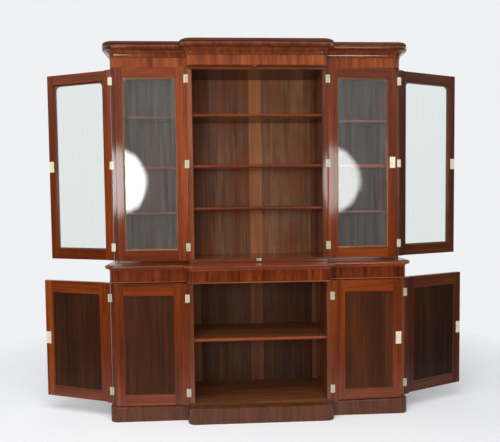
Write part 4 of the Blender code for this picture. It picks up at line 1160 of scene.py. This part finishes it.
def add_camera():
    data = bpy.data.cameras.new("camera")
    data.sensor_width = CAMERA_SENSOR_MM
    data.lens = CAMERA_LENS_MM
    camera = add_object("camera", data)
    turn = Matrix.Rotation(CAMERA_YAW, 4, "Z")
    tilt = Matrix.Rotation(math.pi / 2 + CAMERA_PITCH, 4, "X")
    roll = Matrix.Rotation(CAMERA_ROLL, 4, "Z")
    camera.matrix_world = Matrix.Translation(CAMERA_PLACE) @ turn @ tilt @ roll
    bpy.context.scene.camera = camera


def lamp(name, place, target, width, height, power, soft=False):
    """An area lamp, hidden from reflections.

    A soft one is a disc whose glow fades towards its rim, as in a studio umbrella, and the polish mirrors it.
    """
    data = bpy.data.lights.new(name, "AREA")
    data.shape = "DISK" if soft else "RECTANGLE"
    data.size = width
    data.size_y = height
    data.energy = power
    light = add_object(name, data)
    light.location = place
    light.rotation_euler = (Vector(target) - Vector(place)).to_track_quat("-Z", "Y").to_euler()
    light.visible_glossy = soft
    light.visible_transmission = soft
    if soft:
        g = Graph(data, "Emission")
        reach = g.vector("DISTANCE", g.add("NewGeometry").outputs["Parametric"], (0.5, 0.5, 0.0))
        g.shade(g.remap(reach, *LAMP_RIM, 1.0, 0.0, "SMOOTHSTEP"), "Strength")


def add_world():
    """A pale surrounding for the camera, and behind the object for reflections too.

    Diffuse light comes from a soft even dome. In front of the object, reflections see a studio that is dim
    below and lighter above.
    """
    world = bpy.data.worlds.new("studio")
    bpy.context.scene.world = world
    g = Graph(world, "Background")
    direction = g.add("SeparateXYZ", {0: g.add("TexCoord").outputs["Generated"]}).outputs
    back = g.remap(direction[1], *ROOM_BACK, 0.0, 1.0, "SMOOTHSTEP")
    front = g.remap(direction[2], *ROOM_RISE, ROOM_FOOT, ROOM_HEAD, "SMOOTHSTEP")
    path = g.add("LightPath").outputs
    seen = g.math("MAXIMUM", path["Is Camera Ray"], path["Is Transmission Ray"])
    glossy = g.math("MULTIPLY", path["Is Glossy Ray"], g.math("MAXIMUM", back, front))
    other = g.math("MULTIPLY", g.math("SUBTRACT", 1.0, path["Is Glossy Ray"]), DOME)
    unseen = g.math("MULTIPLY", g.math("SUBTRACT", 1.0, seen), g.math("ADD", glossy, other))
    g.shade((*linear(BACKGROUND), 1.0), "Color")
    g.shade(g.math("ADD", seen, unseen), "Strength")


def add_floor():
    """A pale floor that keeps the shadow and fades into the background far from the object.

    It shows a little lighter to the camera, and reflections see it dark in front of the object.
    """
    size = FLOOR_HALF_SIZE
    mesh = bpy.data.meshes.new("floor")
    mesh.from_pydata([(-size, -size, 0), (size, -size, 0), (size, size, 0), (-size, size, 0)], [], [range(4)])
    g = Graph(bpy.data.materials.new("floor"))
    g.shade(0.9, "Roughness")
    g.shade(0.1, "Specular IOR Level")
    path = g.add("LightPath").outputs
    seen = g.math("MAXIMUM", path["Is Camera Ray"], path["Is Transmission Ray"])
    seen = g.math("MAXIMUM", seen, path["Is Glossy Ray"])
    place = g.add("TexCoord").outputs["Object"]
    around = g.vector("LENGTH", g.stretched(place, (0.5, 1.0, 1.0)))
    dim = g.math("MULTIPLY", g.remap(around, *FLOOR_FRONT, 0.0, 1.0), path["Is Glossy Ray"])
    paint = linear(BACKGROUND)
    shade = [FLOOR_FRONT_DIM * c for c in paint]
    colour = g.tint(dim, (*paint, 1.0), shade)
    g.shade(colour, "Base Color")
    g.shade(colour, "Emission Color")
    g.shade(g.math("MULTIPLY", seen, FLOOR_LIFT), "Emission Strength")
    g.blend_with_clear(g.remap(g.vector("LENGTH", place), *FLOOR_FADE, 0.0, 1.0))
    mesh.materials.append(g.owner)
    add_object("floor", mesh)


make_plinth(STAGES["base"])
make_base_frieze(STAGES["base"])
make_waist(STAGES["base"])
make_cornice(STAGES["upper"])
for stage in STAGES.values():
    make_boards(stage)
    make_back(stage)
    make_shelves(stage)
for door in DOORS:
    make_frame(door)
    make_filling(door)
    make_hinges(door)
    if f"{door.name}_lock" in frame["nodes"]:
        make_lock(door)
        make_edge_plate(door)
make_keepers(STAGES["upper"])
dress_fittings()
add_camera()
add_world()
add_floor()
lamp("left_umbrella", (-1.9, -3.5, 1.62), (0, 0, 1.2), 1.0, 1.0, 30, soft=True)
lamp("right_umbrella", (1.50, -3.5, 1.62), (0, 0, 1.2), 1.0, 1.0, 20, soft=True)
lamp("front_softbox", (-0.7, -3.6, 1.5), (0, 0, 1.1), 2.6, 1.8, 34)
lamp("top_softbox", (-0.7, -1.8, 4.4), (-0.1, -0.3, 0), 4.4, 2.8, 112)

bpy.context.scene.view_settings.view_transform = "Standard"
